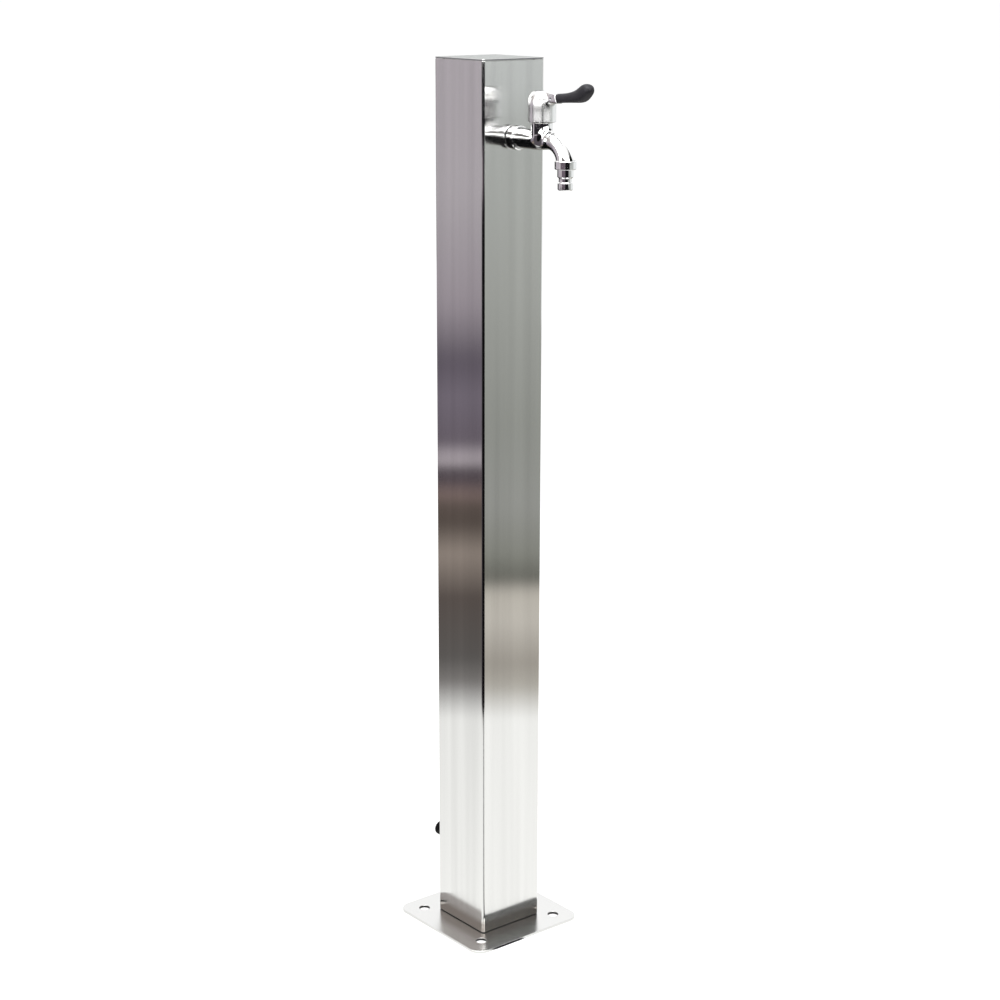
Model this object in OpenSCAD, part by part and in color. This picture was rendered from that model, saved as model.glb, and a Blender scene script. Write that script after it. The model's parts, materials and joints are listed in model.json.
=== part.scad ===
// Garden standpipe: a square stainless post on a bolted plate. A quarter-turn
// lever tap sits at the top of the front face and a hose inlet low on the back,
// joined by a rigid riser inside the post. Millimetres, +Z up. The origin is the
// centre of the base plate's underside and the tap points along -Y.

/* [Post] */
// Height from the ground to the top of the cap
total_h = 955; // [800:5:1200]
// Width of the square tube across its flats
post_w = 80; // [76:1:100]
// Wall thickness of the square tube
post_wall = 1.5; // [1:0.1:1.8]
// Outer corner radius of the square tube
post_corner_r = 2.2; // [2:0.1:4]
// Thickness of the cap plate
cap_t = 1.5; // [1:0.5:3]
// Height of the dark joint under the cap plate
cap_gap = 0.5; // [0.3:0.1:1]

/* [Base plate] */
// Width of the square base plate
plate_w = 148; // [140:1:200]
// Thickness of the base plate
plate_t = 3; // [3:0.5:6]
// Corner radius of the base plate
plate_corner_r = 15; // [8:1:20]
// Distance between anchor hole centres, both ways
bolt_pitch = 104; // [104:1:120]
// Diameter of the four anchor holes
bolt_hole_d = 12; // [9:0.5:13]
// Diameter of the service hole in the middle of the plate
service_hole_d = 60; // [40:1:62]

/* [Tap] */
// Distance from the top of the cap down to the axis of the tap's shank
tap_drop = 78.5; // [70:0.5:120]
// Distance from the post's face to the axis of the lever
tap_reach = 44; // [42:0.5:50]
// Distance from the axis of the lever to the axis of the outlet
spout_reach = 36.5; // [34:0.5:40]
// Outer diameter of the half-inch shank
shank_d = 20.2; // [19.6:0.1:20.6]
// Outer diameter of the neck under the lever
neck_d = 22; // [21.6:0.1:23]
// Outer diameter of the ring that covers the hole in the post
collar_d = 24.6; // [23.6:0.1:28]

/* [Lever] */
// Outer diameter of the lever's round head
head_d = 28.5; // [27.5:0.1:31]
// Height of the lever's round head
head_h = 31; // [29:0.5:34]
// Radius of the edge that rounds the head over into its top
dome_r = 12; // [10:0.5:13]
// Height of the grip where it leaves the head
grip_root_h = 9; // [8:0.5:10]
// Radius of the grip's round end, seen from the side
grip_end_r = 9.3; // [7:0.1:11]
// Distance from the axis of the lever to the centre of the grip's round end
grip_reach = 66.4; // [55:0.2:80]
// Rise from the middle of the grip's root to the centre of its round end
grip_rise = 7.6; // [3:0.2:10]
// Width of the grip at its round end
grip_end_w = 13; // [9:0.5:16]

/* [Outlet nose] */
// Outer diameter of the ring nut that holds the nose
ring_nut_d = 21.8; // [21.6:0.1:24]
// Diameter of the nose above its groove
nose_top_d = 16.3; // [15.8:0.1:16.5]
// Diameter of the nose below its groove
nose_end_d = 15.4; // [15:0.1:16]
// Diameter at the bottom of the groove
nose_groove_d = 13.2; // [12.6:0.1:14]
// Diameter of the water way through both noses
nose_bore_d = 9; // [8:0.5:10]

/* [Inlet] */
// Height of the hose inlet above the ground
inlet_z = 75; // [70:1:120]
// Distance from the back of the post to the tip of the inlet's nose
inlet_reach = 50.5; // [48:0.5:60]
// Diameter of the inlet's nose at its tip
inlet_nose_d = 16; // [15.6:0.1:16.6]
// Outer diameter of the riser pipe
riser_d = 15; // [14:0.5:16]

/* [Hidden] */

$fn = 96;
// Smallest gap that lets one piece slide or turn in another
slip = 0.05;
// Overlap that keeps neighbouring cuts from leaving a skin
over = 0.5;
// Distance from the post's axis to its outer faces
face = post_w / 2;
// Distance from the post's axis to its inner faces
inner_face = face - post_wall;

cap_z = total_h - cap_t;
post_top = cap_z - cap_gap;
cap_skirt_h = 12;
cap_skirt_gap = 0.2;
cap_pad = 13;

tap_z = total_h - tap_drop;
valve_y = -(face + tap_reach);
outlet_y = valve_y - spout_reach;
shank_r = shank_d / 2;
shank_tail_y = -22;
collar_l = 10;
gasket_t = 1.2;
washer_t = 1.2;
wall_hole_d = shank_d + 1;

// Levels of the valve, counted up from the axis of the shank
neck_top = tap_z + 17.4;
seat_z = tap_z - 2;
seal_t = 1.8;
disc_t = 2.2;
disc_r = 7.1;
// Ports of the discs: their turn, and their inner and outer radius
port_turn = 70;
port_r0 = 2;
port_r1 = 5.4;
fixed_z = seat_z + seal_t;
moving_z = fixed_z + disc_t + slip;
// Dog on the spindle that turns the upper disc
dog_h = 1.1;
dog_w = 2.5;
dog_l = 8;
flange_r = 6;
dog_z = moving_z + disc_t - dog_h;
spindle_z = moving_z + disc_t + slip;
shoulder_z = spindle_z + 2.7;
cage_top = seat_z + 11;
cage_r = 8;
window_w = 8;
neck_thread_r = 9;
// Rubber ring under the thread of the headwork
neck_ring_z = cage_top + 1.2;
neck_ring_r = neck_thread_r - 0.75;
hex_h = 4.6;
hex_af = 19;
sleeve_r = 5.8;
sleeve_top = neck_top + 10;
spindle_r = 4;
spline_z = sleeve_top + 1;
spline_h = 9;
spline_teeth = 20;
// Height of the screw that clamps the head on the spline
grub_z = spline_z + 5.5;
grub_r = 2;
oring_zs = [cage_top + 3.4, cage_top + 7.4];

head_z = neck_top + 0.6;
head_cavity_h = 12.5;
head_cavity_r = 12.2;
// Level of the underside of the grip where it leaves the head
tongue_z = head_z + 19.5;
tongue_w = 9;
tongue_edge_r = 2;
// Radius of the ball inside the dome that the tongue grows out of
tongue_root_r = head_h - tongue_z + head_z + 0.6;
// Distance from the axis of the lever to the end of the head's tongue
tongue_reach = 22;
tang_w = 5;
tang_back = 13;
tang_front = 46;
// Small screw in the tongue's side that holds the tang
grip_screw_back = 4;
grip_screw_r = 1.25;
grip_wall_z = tongue_z + grip_root_h / 2;

// The spout bends down from the valve on one arc that ends inside an upright boss.
// Points are a distance in front of the valve axis and a height
spout_r = 8.3;
spout_bore_r = 5;
spout_arc = 56;
spout_root_turn = 8;
spout_end_turn = 60;
spout_tip_z = tap_z - 22.8;
spout_end = [spout_reach - 0.7, spout_tip_z + 4.5];
arc_centre = spout_end - spout_arc * [sin(spout_end_turn), cos(spout_end_turn)];
// Threaded boss at the end of the spout
boss_r = 9.1;
boss_h = 9;
// How far the round nose of the barrel stands in front of the valve axis
barrel_nose = 8.5;
// Centre of the neck's round bottom
neck_z = tap_z + 0.6;

ring_nut_top = spout_tip_z + 5.4;
ring_nut_h = 8.6;
ring_nut_floor = 1.3;
nut_thread_r = boss_r + slip;
nose_gasket_t = 0.9;
nose_flange_z = ring_nut_top - ring_nut_h + ring_nut_floor;
nose_tip_z = spout_tip_z - 23.7;
groove_z = nose_tip_z + 7.8;
groove_h = 5.4;

elbow_r = 12;
elbow_bore_r = 5.5;
elbow_af = 26;
// Distance from an elbow's axis to the end of the pipe in its branch
pipe_stop = 18;
// Length of the branch, and how far out its nut starts
branch_l = pipe_stop + 16;
nut_lift = pipe_stop + 8;
riser_r = riser_d / 2;
riser_wall = 1;
riser_low = inlet_z + pipe_stop;
riser_high = tap_z - pipe_stop;
pipe_thread_r = 10.4;
pipe_nut_h = 14;
pipe_nut_af = 24;
inlet_thread_r = 13.2;
inlet_hole_d = 2 * inlet_thread_r + 1;
inlet_flange_r = 17;
inlet_flange_t = 5;
inlet_thread_y = face + 17;
locknut_t = 6;
locknut_af = 34;
inlet_tip_y = face + inlet_reach;
adapter_y = face + gasket_t + locknut_t + 1.2;
adapter_collar_l = 13;
adapter_collar_r = 17;
adapter_ribs = 16;

// A square with round corners
module rounded_square(w, r) {
    square([w - 2 * r, w], center = true);
    square([w, w - 2 * r], center = true);
    for (x = [-1, 1], y = [-1, 1])
        translate([x * (w / 2 - r), y * (w / 2 - r)]) circle(r = r);
}

// A square pipe section
module square_tube(w, r, wall) {
    difference() {
        rounded_square(w, r);
        rounded_square(w - 2 * wall, r - wall > 0.2 ? r - wall : 0.2);
    }
}

// Turns children that stand along +Z so that they lie along +Y from a point on a height
module lay_back(y, z) {
    translate([0, y, z]) rotate([-90, 0, 0]) children();
}

// A round bar along Y
module bar_y(y0, y1, z, r) {
    lay_back(y0, z) cylinder(h = y1 - y0, r = r);
}

// A round bar along Z
module bar_z(z0, z1, y, r) {
    translate([0, y, z0]) cylinder(h = z1 - z0, r = r);
}

// A flat ring that stands on Z = 0
module ring(h, ro, ri) {
    difference() {
        cylinder(h = h, r = ro);
        translate([0, 0, -over]) cylinder(h = h + 2 * over, r = ri);
    }
}

// A round rubber ring
module oring(r_mid, r_cord) {
    rotate_extrude() translate([r_mid, 0]) circle(r = r_cord, $fn = 24);
}

// A tube with both outer edges chamfered
module chamfered_tube(h, ro, ri, c) {
    rotate_extrude()
        polygon([[ri, 0], [ro - c, 0], [ro, c], [ro, h - c], [ro - c, h], [ri, h]]);
}

// A hexagon nut blank, measured across its flats, with a round hole
module hex_ring(h, af, ri) {
    difference() {
        cylinder(h = h, d = af / cos(30), $fn = 6);
        translate([0, 0, -over]) cylinder(h = h + 2 * over, r = ri);
    }
}

// A closed skin over rings of points, each ring with the same number of points
module loft(rings) {
    n = len(rings[0]);
    m = len(rings);
    sides = [for (i = [0 : m - 2], j = [0 : n - 1])
        [i * n + j, i * n + (j + 1) % n, (i + 1) * n + (j + 1) % n, (i + 1) * n + j]];
    first_cap = [for (j = [n - 1 : -1 : 0]) j];
    last_cap = [for (j = [0 : n - 1]) (m - 1) * n + j];
    polyhedron(points = [for (ring = rings) each ring],
        faces = concat([first_cap], sides, [last_cap]), convexity = 4);
}

// A bar bent round a centre in the tap's plane. The turns are measured from
// level at the top of the bend, and grow as the bar goes forward and down
module bent_bar(centre, bend, r, turn_from, turn_to) {
    translate([0, valve_y - centre[0], centre[1]]) rotate([0, -90, 0])
        rotate_extrude(angle = turn_from - turn_to, start = -turn_from)
            translate([bend, 0]) circle(r = r);
}

module base_plate() {
    color("silver")
    linear_extrude(height = plate_t)
        difference() {
            rounded_square(plate_w, plate_corner_r);
            circle(d = service_hole_d);
            for (x = [-1, 1], y = [-1, 1])
                translate([x * bolt_pitch / 2, y * bolt_pitch / 2]) circle(d = bolt_hole_d);
        }
}

module post() {
    color("silver")
    difference() {
        translate([0, 0, plate_t]) linear_extrude(height = post_top - plate_t)
            square_tube(post_w, post_corner_r, post_wall);
        bar_y(-face - over, -inner_face + over, tap_z, wall_hole_d / 2);
        bar_y(inner_face - over, face + over, inlet_z, inlet_hole_d / 2);
    }
}

// Flat cap on a push-in skirt; corner pads hold it off the tube and leave the dark joint
module top_cap() {
    color("gainsboro") {
        translate([0, 0, cap_z]) linear_extrude(height = cap_t)
            rounded_square(post_w, post_corner_r);
        translate([0, 0, post_top]) linear_extrude(height = cap_gap)
            intersection() {
                square_tube(post_w - 0.6, post_corner_r, post_wall - 0.3);
                for (x = [-1, 1], y = [-1, 1])
                    translate([x * face, y * face]) square(2 * cap_pad, center = true);
            }
        translate([0, 0, cap_z - cap_skirt_h]) linear_extrude(height = cap_skirt_h)
            square_tube(2 * (inner_face - cap_skirt_gap), 1.2, 1);
    }
}

module wall_gasket() {
    color("black")
    lay_back(-face - gasket_t, tap_z) ring(gasket_t, collar_d / 2 - 0.6, shank_r);
}

// Chromed ring that hides the hole in the post
module wall_collar() {
    color("whitesmoke")
    lay_back(-face - gasket_t - collar_l, tap_z)
        chamfered_tube(collar_l, collar_d / 2, shank_r, 0.9);
}

// A round-ended bar, drawn as half of its outline for turning about its axis
module round_ended_outline(r, length) {
    square([r, length]);
    intersection() {
        circle(r = r);
        translate([0, -r]) square(r);
    }
}

// Casting of the tap: shank, barrel, neck and gooseneck spout
module tap_casting() {
    lay_back(valve_y - barrel_nose, tap_z) rotate_extrude()
        round_ended_outline(shank_r, shank_tail_y - valve_y + barrel_nose);
    translate([0, valve_y, neck_z]) rotate_extrude()
        round_ended_outline(neck_d / 2, neck_top - neck_z);
    bent_bar(arc_centre, spout_arc, spout_r, spout_root_turn, spout_end_turn);
    translate([0, outlet_y, spout_tip_z]) rotate_extrude()
        polygon([[0, 0], [boss_r, 0], [boss_r, boss_h - 1.4], [boss_r - 1.2, boss_h], [0, boss_h]]);
}

// Turned clearance round the boss, where the ring nut goes up over the thread
module nut_relief() {
    h = ring_nut_top - spout_tip_z + 0.3;
    translate([0, outlet_y, spout_tip_z - over])
        ring(h + over, ring_nut_d / 2 + 1, boss_r);
}

// Water way: in along the shank, under the seat, up through the valve, out along the spout
module water_way() {
    inlet_r = 4.6;
    inlet_end = valve_y + 22;
    tail_l = shank_tail_y - inlet_end + over;
    drilling_r = 2;
    dip = [0, valve_y + 4, seat_z - 4.3];
    slope = atan2(tap_z - dip[2], inlet_end - dip[1]);
    well_r = 4.2;
    well_z = dip[2] - drilling_r;
    lay_back(inlet_end, tap_z) rotate_extrude()
        polygon([[0, -2.6], [inlet_r, 0], [inlet_r, tail_l], [0, tail_l]]);
    translate(dip) rotate([slope - 90, 0, 0])
        cylinder(h = norm([0, inlet_end, tap_z] - dip), r = drilling_r);
    translate([0, valve_y, 0]) rotate_extrude()
        polygon([[0, well_z], [well_r, well_z], [well_r, seat_z], [cage_r + slip, seat_z],
            [cage_r + slip, cage_top], [neck_thread_r, cage_top],
            [neck_thread_r, neck_top + over], [0, neck_top + over]]);
    bent_bar(arc_centre, spout_arc, spout_bore_r, spout_root_turn, spout_end_turn);
    bar_z(spout_tip_z - over, spout_end[1] + 2.5, outlet_y, spout_bore_r);
}

module tap_body() {
    color("whitesmoke")
    difference() {
        tap_casting();
        nut_relief();
        water_way();
    }
}

// Body of the quarter-turn valve: hexagon, thread and cage with two side windows
module headwork_body() {
    color("goldenrod")
    difference() {
        translate([0, valve_y, 0]) union() {
            translate([0, 0, seat_z + 0.2]) cylinder(h = cage_top - seat_z - 0.2, r = cage_r);
            translate([0, 0, cage_top]) cylinder(h = neck_top - cage_top, r = neck_thread_r - slip);
            translate([0, 0, neck_top]) cylinder(h = hex_h, d = hex_af / cos(30), $fn = 6);
            translate([0, 0, neck_top + hex_h])
                cylinder(h = sleeve_top - neck_top - hex_h, r = sleeve_r);
        }
        bar_z(seat_z, shoulder_z, valve_y, disc_r + 0.1);
        bar_z(seat_z, sleeve_top + over, valve_y, spindle_r + slip);
        translate([-window_w / 2, valve_y - cage_r - over, moving_z + 1])
            cube([window_w, 2 * cage_r + 2 * over, cage_top - moving_z - 3]);
        translate([0, valve_y, neck_ring_z]) oring(neck_ring_r, 0.8);
    }
}

module headwork_oring() {
    color("black")
    translate([0, valve_y, neck_ring_z]) oring(neck_ring_r, 0.7);
}

// Ceramic disc with two opposite ports, each less than a quarter of a circle
module ported_disc() {
    difference() {
        cylinder(h = disc_t, r = disc_r);
        for (side = [0, 180])
            rotate([0, 0, side]) translate([0, 0, -over])
                rotate_extrude(angle = port_turn, start = 90 - port_turn / 2)
                    translate([port_r0, 0]) square([port_r1 - port_r0, disc_t + 2 * over]);
    }
}

module fixed_disc() {
    color("ivory")
    translate([0, valve_y, fixed_z]) ported_disc();
}

module seat_seal() {
    color("black")
    translate([0, valve_y, seat_z]) ring(seal_t, disc_r, 5);
}

// Ceramic disc that turns with the spindle; a slot in its top takes the spindle's dog
module moving_disc() {
    color("ivory")
    translate([0, valve_y, moving_z]) difference() {
        rotate([0, 0, 90]) ported_disc();
        translate([-dog_l / 2 - slip, -dog_w / 2 - slip, disc_t - dog_h])
            cube([dog_l + 2 * slip, dog_w + 2 * slip, dog_h + over]);
    }
}

// A ring of small teeth, as on the end of a tap spindle
module spline(h, grow) {
    linear_extrude(height = h)
        polygon([for (i = [0 : 2 * spline_teeth - 1])
            let (a = 180 * i / spline_teeth, r = spindle_r - 0.05 - 0.45 * (i % 2) + grow)
            [r * cos(a), r * sin(a)]]);
}

module spindle() {
    color("goldenrod")
    translate([0, valve_y, 0]) difference() {
        union() {
            translate([-dog_l / 2, -dog_w / 2, dog_z + slip]) cube([dog_l, dog_w, dog_h + slip]);
            translate([0, 0, spindle_z]) cylinder(h = shoulder_z - spindle_z - slip, r = flange_r);
            translate([0, 0, spindle_z]) cylinder(h = spline_z - spindle_z, r = spindle_r);
            translate([0, 0, spline_z]) spline(spline_h, 0);
        }
        for (z = oring_zs)
            translate([0, 0, z - 0.8]) ring(1.6, spindle_r + over, spindle_r - 1.2);
        translate([0, 0, sleeve_top + 0.1]) ring(0.8, spindle_r + over, spindle_r - 0.6);
    }
}

module spindle_orings() {
    color("black")
    for (z = oring_zs) translate([0, valve_y, z]) oring(spindle_r - 0.6, 0.57);
}

// Open spring ring in the spindle's groove
module spindle_clip() {
    color("dimgray")
    translate([0, valve_y, sleeve_top + 0.15]) difference() {
        ring(0.7, spindle_r + 1.2, spindle_r - 0.6);
        translate([-1.5, 0, -over]) cube([3, 8, 2]);
    }
}

// Solid of the lever head: round skirt, rounded top, and the tongue that holds the grip
module head_solid() {
    r = head_d / 2;
    rotate_extrude() union() {
        polygon([[0, 0], [r - 0.7, 0], [r, 0.7], [r, head_h - dome_r], [0, head_h - dome_r]]);
        square([r - dome_r, head_h]);
        intersection() {
            translate([r - dome_r, head_h - dome_r]) circle(r = dome_r);
            square([r + 1, head_h + 1]);
        }
    }
    hull() {
        translate([0, -1, tongue_z - head_z - 1]) intersection() {
            sphere(r = tongue_root_r, $fn = 40);
            translate([-head_d, -head_d, 0]) cube(2 * head_d);
        }
        for (x = [-1, 1], z = [tongue_edge_r, grip_root_h - tongue_edge_r])
            translate([x * (tongue_w / 2 - tongue_edge_r), -tongue_reach + 1, tongue_z - head_z + z])
                rotate([90, 0, 0]) cylinder(h = 1, r = tongue_edge_r, $fn = 32);
    }
}

module lever_head() {
    color("whitesmoke")
    difference() {
        translate([0, valve_y, head_z]) head_solid();
        bar_z(head_z - over, head_z + head_cavity_h, valve_y, head_cavity_r);
        translate([0, valve_y, spline_z - 1]) spline(spline_h + 2, slip);
        bar_z(head_z, spline_z, valve_y, spindle_r + 1.4);
        bar_y(valve_y, valve_y + head_d, grub_z, grub_r);
        translate([-tang_w / 2, valve_y - tongue_reach - over, grip_wall_z - tang_w / 2])
            cube([tang_w, tongue_reach - tang_back + over, tang_w]);
        translate([-tongue_w, valve_y - tongue_reach + grip_screw_back, grip_wall_z])
            rotate([0, 90, 0]) cylinder(h = tongue_w, r = grip_screw_r);
    }
}

// Screw with a hexagon socket, tip at the origin, head end along +Z
module grub_screw(h, r) {
    difference() {
        union() {
            cylinder(h = 0.6, r1 = r - 0.6, r2 = r);
            translate([0, 0, 0.6]) cylinder(h = h - 0.6, r = r);
        }
        translate([0, 0, h - r]) cylinder(h = r + over, r = r / 2, $fn = 6);
    }
}

module lever_grub_screw() {
    color("dimgray")
    lay_back(valve_y + spindle_r + slip, grub_z) grub_screw(9, grub_r);
}

// Steel bar that is moulded into the grip and held in the head's tongue
module grip_tang() {
    color("silver")
    translate([-tang_w / 2, valve_y - tang_front, grip_wall_z - tang_w / 2])
        cube([tang_w, tang_front - tang_back, tang_w]);
}

module grip_screw() {
    color("dimgray")
    translate([-tang_w / 2, valve_y - tongue_reach + grip_screw_back, grip_wall_z])
        rotate([0, -90, 0]) grub_screw((tongue_w - tang_w) / 2 - 0.3, grip_screw_r);
}

// Share of the way along the grip that its sweep has risen
function grip_sweep(s) = pow((s - tongue_reach) / (grip_reach - tongue_reach), 1.8);

// Half height, half width and middle height of the grip at a distance from the valve axis
function grip_half_h(s) = s < grip_reach
    ? grip_root_h / 2 + (grip_end_r - grip_root_h / 2) * grip_sweep(s)
    : sqrt(pow(grip_end_r, 2) - pow(s - grip_reach, 2));
function grip_half_w(s) = s < grip_reach
    ? tongue_w / 2 + (grip_end_w - tongue_w) / 2 * grip_sweep(s)
    : grip_end_w / 2 * pow(1 - pow((s - grip_reach) / grip_end_r, 2), 0.4);
function grip_mid(s) = grip_wall_z + grip_rise * (s < grip_reach ? grip_sweep(s) : 1);

// Soft-cornered section of the grip
function grip_ring(s) = [for (i = [0 : 23])
    let (c = cos(15 * i), d = sin(15 * i))
    [grip_half_w(s) * sign(c) * pow(abs(c), 0.75), valve_y - s,
        grip_mid(s) + grip_half_h(s) * sign(d) * pow(abs(d), 0.8)]];

module lever_grip() {
    shank_steps = 12;
    end_steps = 7;
    color([0.13, 0.12, 0.13])
    difference() {
        loft(concat(
            [for (i = [0 : shank_steps])
                grip_ring(tongue_reach + (grip_reach - tongue_reach) * i / shank_steps)],
            [for (i = [1 : end_steps])
                grip_ring(grip_reach + grip_end_r * sin(88 * i / end_steps))]));
        translate([-tang_w / 2, valve_y - tang_front, grip_wall_z - tang_w / 2])
            cube([tang_w, tang_front - tongue_reach + over, tang_w]);
    }
}

// Ring nut on the end of the spout; its lip holds the nose
module ring_nut() {
    color("whitesmoke")
    translate([0, outlet_y, ring_nut_top - ring_nut_h]) difference() {
        chamfered_tube(ring_nut_h, ring_nut_d / 2, nose_top_d / 2 + slip, 0.6);
        translate([0, 0, ring_nut_floor]) cylinder(h = ring_nut_h, r = nut_thread_r);
    }
}

module nose_gasket() {
    color("black")
    translate([0, outlet_y, spout_tip_z - nose_gasket_t])
        ring(nose_gasket_t, boss_r - 0.1, nose_bore_d / 2);
}

// Plug-in hose nose: flange, round body, groove for the coupling and a chamfered end
module hose_nose() {
    top = spout_tip_z - nose_gasket_t;
    color("whitesmoke")
    translate([0, outlet_y, 0]) rotate_extrude()
        polygon([
            [nose_bore_d / 2, nose_tip_z],
            [nose_end_d / 2 - 0.9, nose_tip_z],
            [nose_end_d / 2, nose_tip_z + 0.9],
            [nose_end_d / 2, groove_z - 0.5],
            [nose_groove_d / 2, groove_z + 0.2],
            [nose_groove_d / 2, groove_z + groove_h - 1.4],
            [nose_top_d / 2, groove_z + groove_h],
            [nose_top_d / 2, nose_flange_z],
            [boss_r - 0.1, nose_flange_z],
            [boss_r - 0.1, top],
            [nose_bore_d / 2, top]]);
}

// Brass elbow: a socket or stub along Y and a branch along Z for the riser.
// out is +1 where the branch points up and -1 where it points down
module elbow_branch(z, out) {
    translate([0, 0, z]) mirror([0, 0, out < 0 ? 1 : 0]) {
        sphere(r = elbow_r);
        cylinder(h = pipe_stop - 3, r = elbow_r);
        translate([0, 0, pipe_stop - 8]) cylinder(h = 6, d = elbow_af / cos(30), $fn = 6);
        cylinder(h = branch_l, r = pipe_thread_r);
    }
}

// Water way and pipe socket of an elbow's branch
module elbow_branch_bore(z, out) {
    translate([0, 0, z]) mirror([0, 0, out < 0 ? 1 : 0]) {
        sphere(r = elbow_bore_r);
        cylinder(h = branch_l + over, r = elbow_bore_r);
        translate([0, 0, pipe_stop]) cylinder(h = branch_l, r = riser_r + slip);
        translate([0, 0, branch_l - 1.5]) cylinder(h = 2, r = riser_r + 1);
    }
}

module tap_elbow() {
    mouth = -inner_face + washer_t;
    socket_l = 17;
    socket_r = shank_r + 4.5;
    color("darkkhaki")
    difference() {
        union() {
            bar_y(mouth, mouth + socket_l, tap_z, socket_r);
            bar_y(mouth, 0, tap_z, elbow_r);
            elbow_branch(tap_z, -1);
        }
        bar_y(mouth - over, shank_tail_y + 1, tap_z, shank_r);
        bar_y(shank_tail_y, 0, tap_z, elbow_bore_r);
        elbow_branch_bore(tap_z, -1);
    }
}

module elbow_washer() {
    color("firebrick")
    lay_back(-inner_face, tap_z) ring(washer_t, shank_r + 4, shank_r);
}

module inlet_elbow() {
    flange_y = inner_face - washer_t - inlet_flange_t;
    color("darkkhaki")
    difference() {
        union() {
            bar_y(0, flange_y + 1, inlet_z, elbow_r);
            lay_back(flange_y, inlet_z)
                cylinder(h = inlet_flange_t, d = 2 * inlet_flange_r / cos(30), $fn = 6);
            bar_y(flange_y + 1, inlet_thread_y, inlet_z, inlet_thread_r);
            elbow_branch(inlet_z, 1);
        }
        bar_y(0, inlet_thread_y + over, inlet_z, elbow_bore_r);
        elbow_branch_bore(inlet_z, 1);
    }
}

module inlet_washer() {
    color("firebrick")
    lay_back(inner_face - washer_t, inlet_z) ring(washer_t, inlet_flange_r, inlet_thread_r);
}

module inlet_gasket() {
    color("black")
    lay_back(face, inlet_z) ring(gasket_t, inlet_flange_r + 1, inlet_thread_r);
}

module inlet_locknut() {
    color("goldenrod")
    lay_back(face + gasket_t, inlet_z) hex_ring(locknut_t, locknut_af, inlet_thread_r);
}

// Black plastic nose with a ribbed collar that screws on to the inlet's thread
module inlet_adapter() {
    floor_y = inlet_thread_y + 2;
    collar_end = adapter_y + adapter_collar_l;
    nose_r = inlet_nose_d / 2;
    color([0.1, 0.1, 0.1])
    difference() {
        union() {
            lay_back(adapter_y, inlet_z)
                chamfered_tube(adapter_collar_l, adapter_collar_r - 0.8, inlet_thread_r, 0.6);
            for (i = [0 : adapter_ribs - 1])
                lay_back(adapter_y + 1, inlet_z) rotate([0, 0, i * 360 / adapter_ribs])
                    translate([adapter_collar_r - 2.2, -1.1, 0])
                        cube([2, 2.2, adapter_collar_l - 2]);
            lay_back(0, inlet_z) rotate_extrude()
                polygon([
                    [nose_bore_d / 2, floor_y],
                    [inlet_thread_r + 1, floor_y],
                    [inlet_thread_r + 1, collar_end],
                    [nose_r + 1.6, collar_end + 1.5],
                    [nose_r + 0.4, collar_end + 3],
                    [nose_r + 0.4, inlet_tip_y - 17],
                    [nose_r - 1.4, inlet_tip_y - 15.5],
                    [nose_r - 1.4, inlet_tip_y - 11],
                    [nose_r, inlet_tip_y - 10],
                    [nose_r, inlet_tip_y - 1.2],
                    [nose_r - 1.2, inlet_tip_y],
                    [nose_bore_d / 2, inlet_tip_y]]);
        }
        bar_y(adapter_y - over, floor_y, inlet_z, inlet_thread_r);
    }
}

module adapter_gasket() {
    color("black")
    lay_back(inlet_thread_y, inlet_z) ring(2, inlet_thread_r - 0.2, nose_bore_d / 2 + 0.5);
}

module riser_pipe() {
    color("silver")
    translate([0, 0, riser_low])
        ring(riser_high - riser_low, riser_r, riser_r - riser_wall);
}

// One nut at each end of the riser, screwed over the elbow's thread
module pipe_nut() {
    difference() {
        cylinder(h = pipe_nut_h, d = pipe_nut_af / cos(30), $fn = 6);
        translate([0, 0, -over]) cylinder(h = pipe_nut_h - 3 + over, r = pipe_thread_r);
        cylinder(h = pipe_nut_h + over, r = riser_r + 0.1);
    }
}

module pipe_nuts() {
    color("goldenrod") {
        translate([0, 0, inlet_z + nut_lift]) pipe_nut();
        translate([0, 0, tap_z - nut_lift]) mirror([0, 0, 1]) pipe_nut();
    }
}

// Soft rings that the nuts squeeze on to the riser
module pipe_olive() {
    rotate_extrude()
        polygon([[riser_r, 0], [riser_r + 0.3, 0], [riser_r + 1.2, 1.8],
            [riser_r + 0.3, 3], [riser_r, 3]]);
}

module pipe_olives() {
    color("peru") {
        translate([0, 0, inlet_z + branch_l]) pipe_olive();
        translate([0, 0, tap_z - branch_l]) mirror([0, 0, 1]) pipe_olive();
    }
}

base_plate();
post();
top_cap();
wall_collar();
wall_gasket();
tap_body();
tap_elbow();
elbow_washer();
headwork_body();
headwork_oring();
fixed_disc();
seat_seal();
ring_nut();
hose_nose();
nose_gasket();
riser_pipe();
pipe_nuts();
pipe_olives();
inlet_elbow();
inlet_washer();
inlet_gasket();
inlet_locknut();
inlet_adapter();
adapter_gasket();
spindle();
spindle_orings();
spindle_clip();
moving_disc();
lever_head();
lever_grub_screw();
grip_tang();
grip_screw();
lever_grip();
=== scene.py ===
# Looks of a square stainless garden standpipe: a bolted plate, a brushed post with a cap, a chromed
# quarter-turn tap and a black hose inlet. Every length is in metres, in the frame's own axes: +Z up,
# the tap along -Y. The sizes come from the frame and from the property groups below.
import json
from math import atan2, cos, pi, radians, sin, sqrt

import bmesh
import bpy
from bmesh.types import BMEdge, BMFace, BMVert
from bpy.types import Operator, Panel, PropertyGroup
from mathutils import Matrix, Vector


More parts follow.
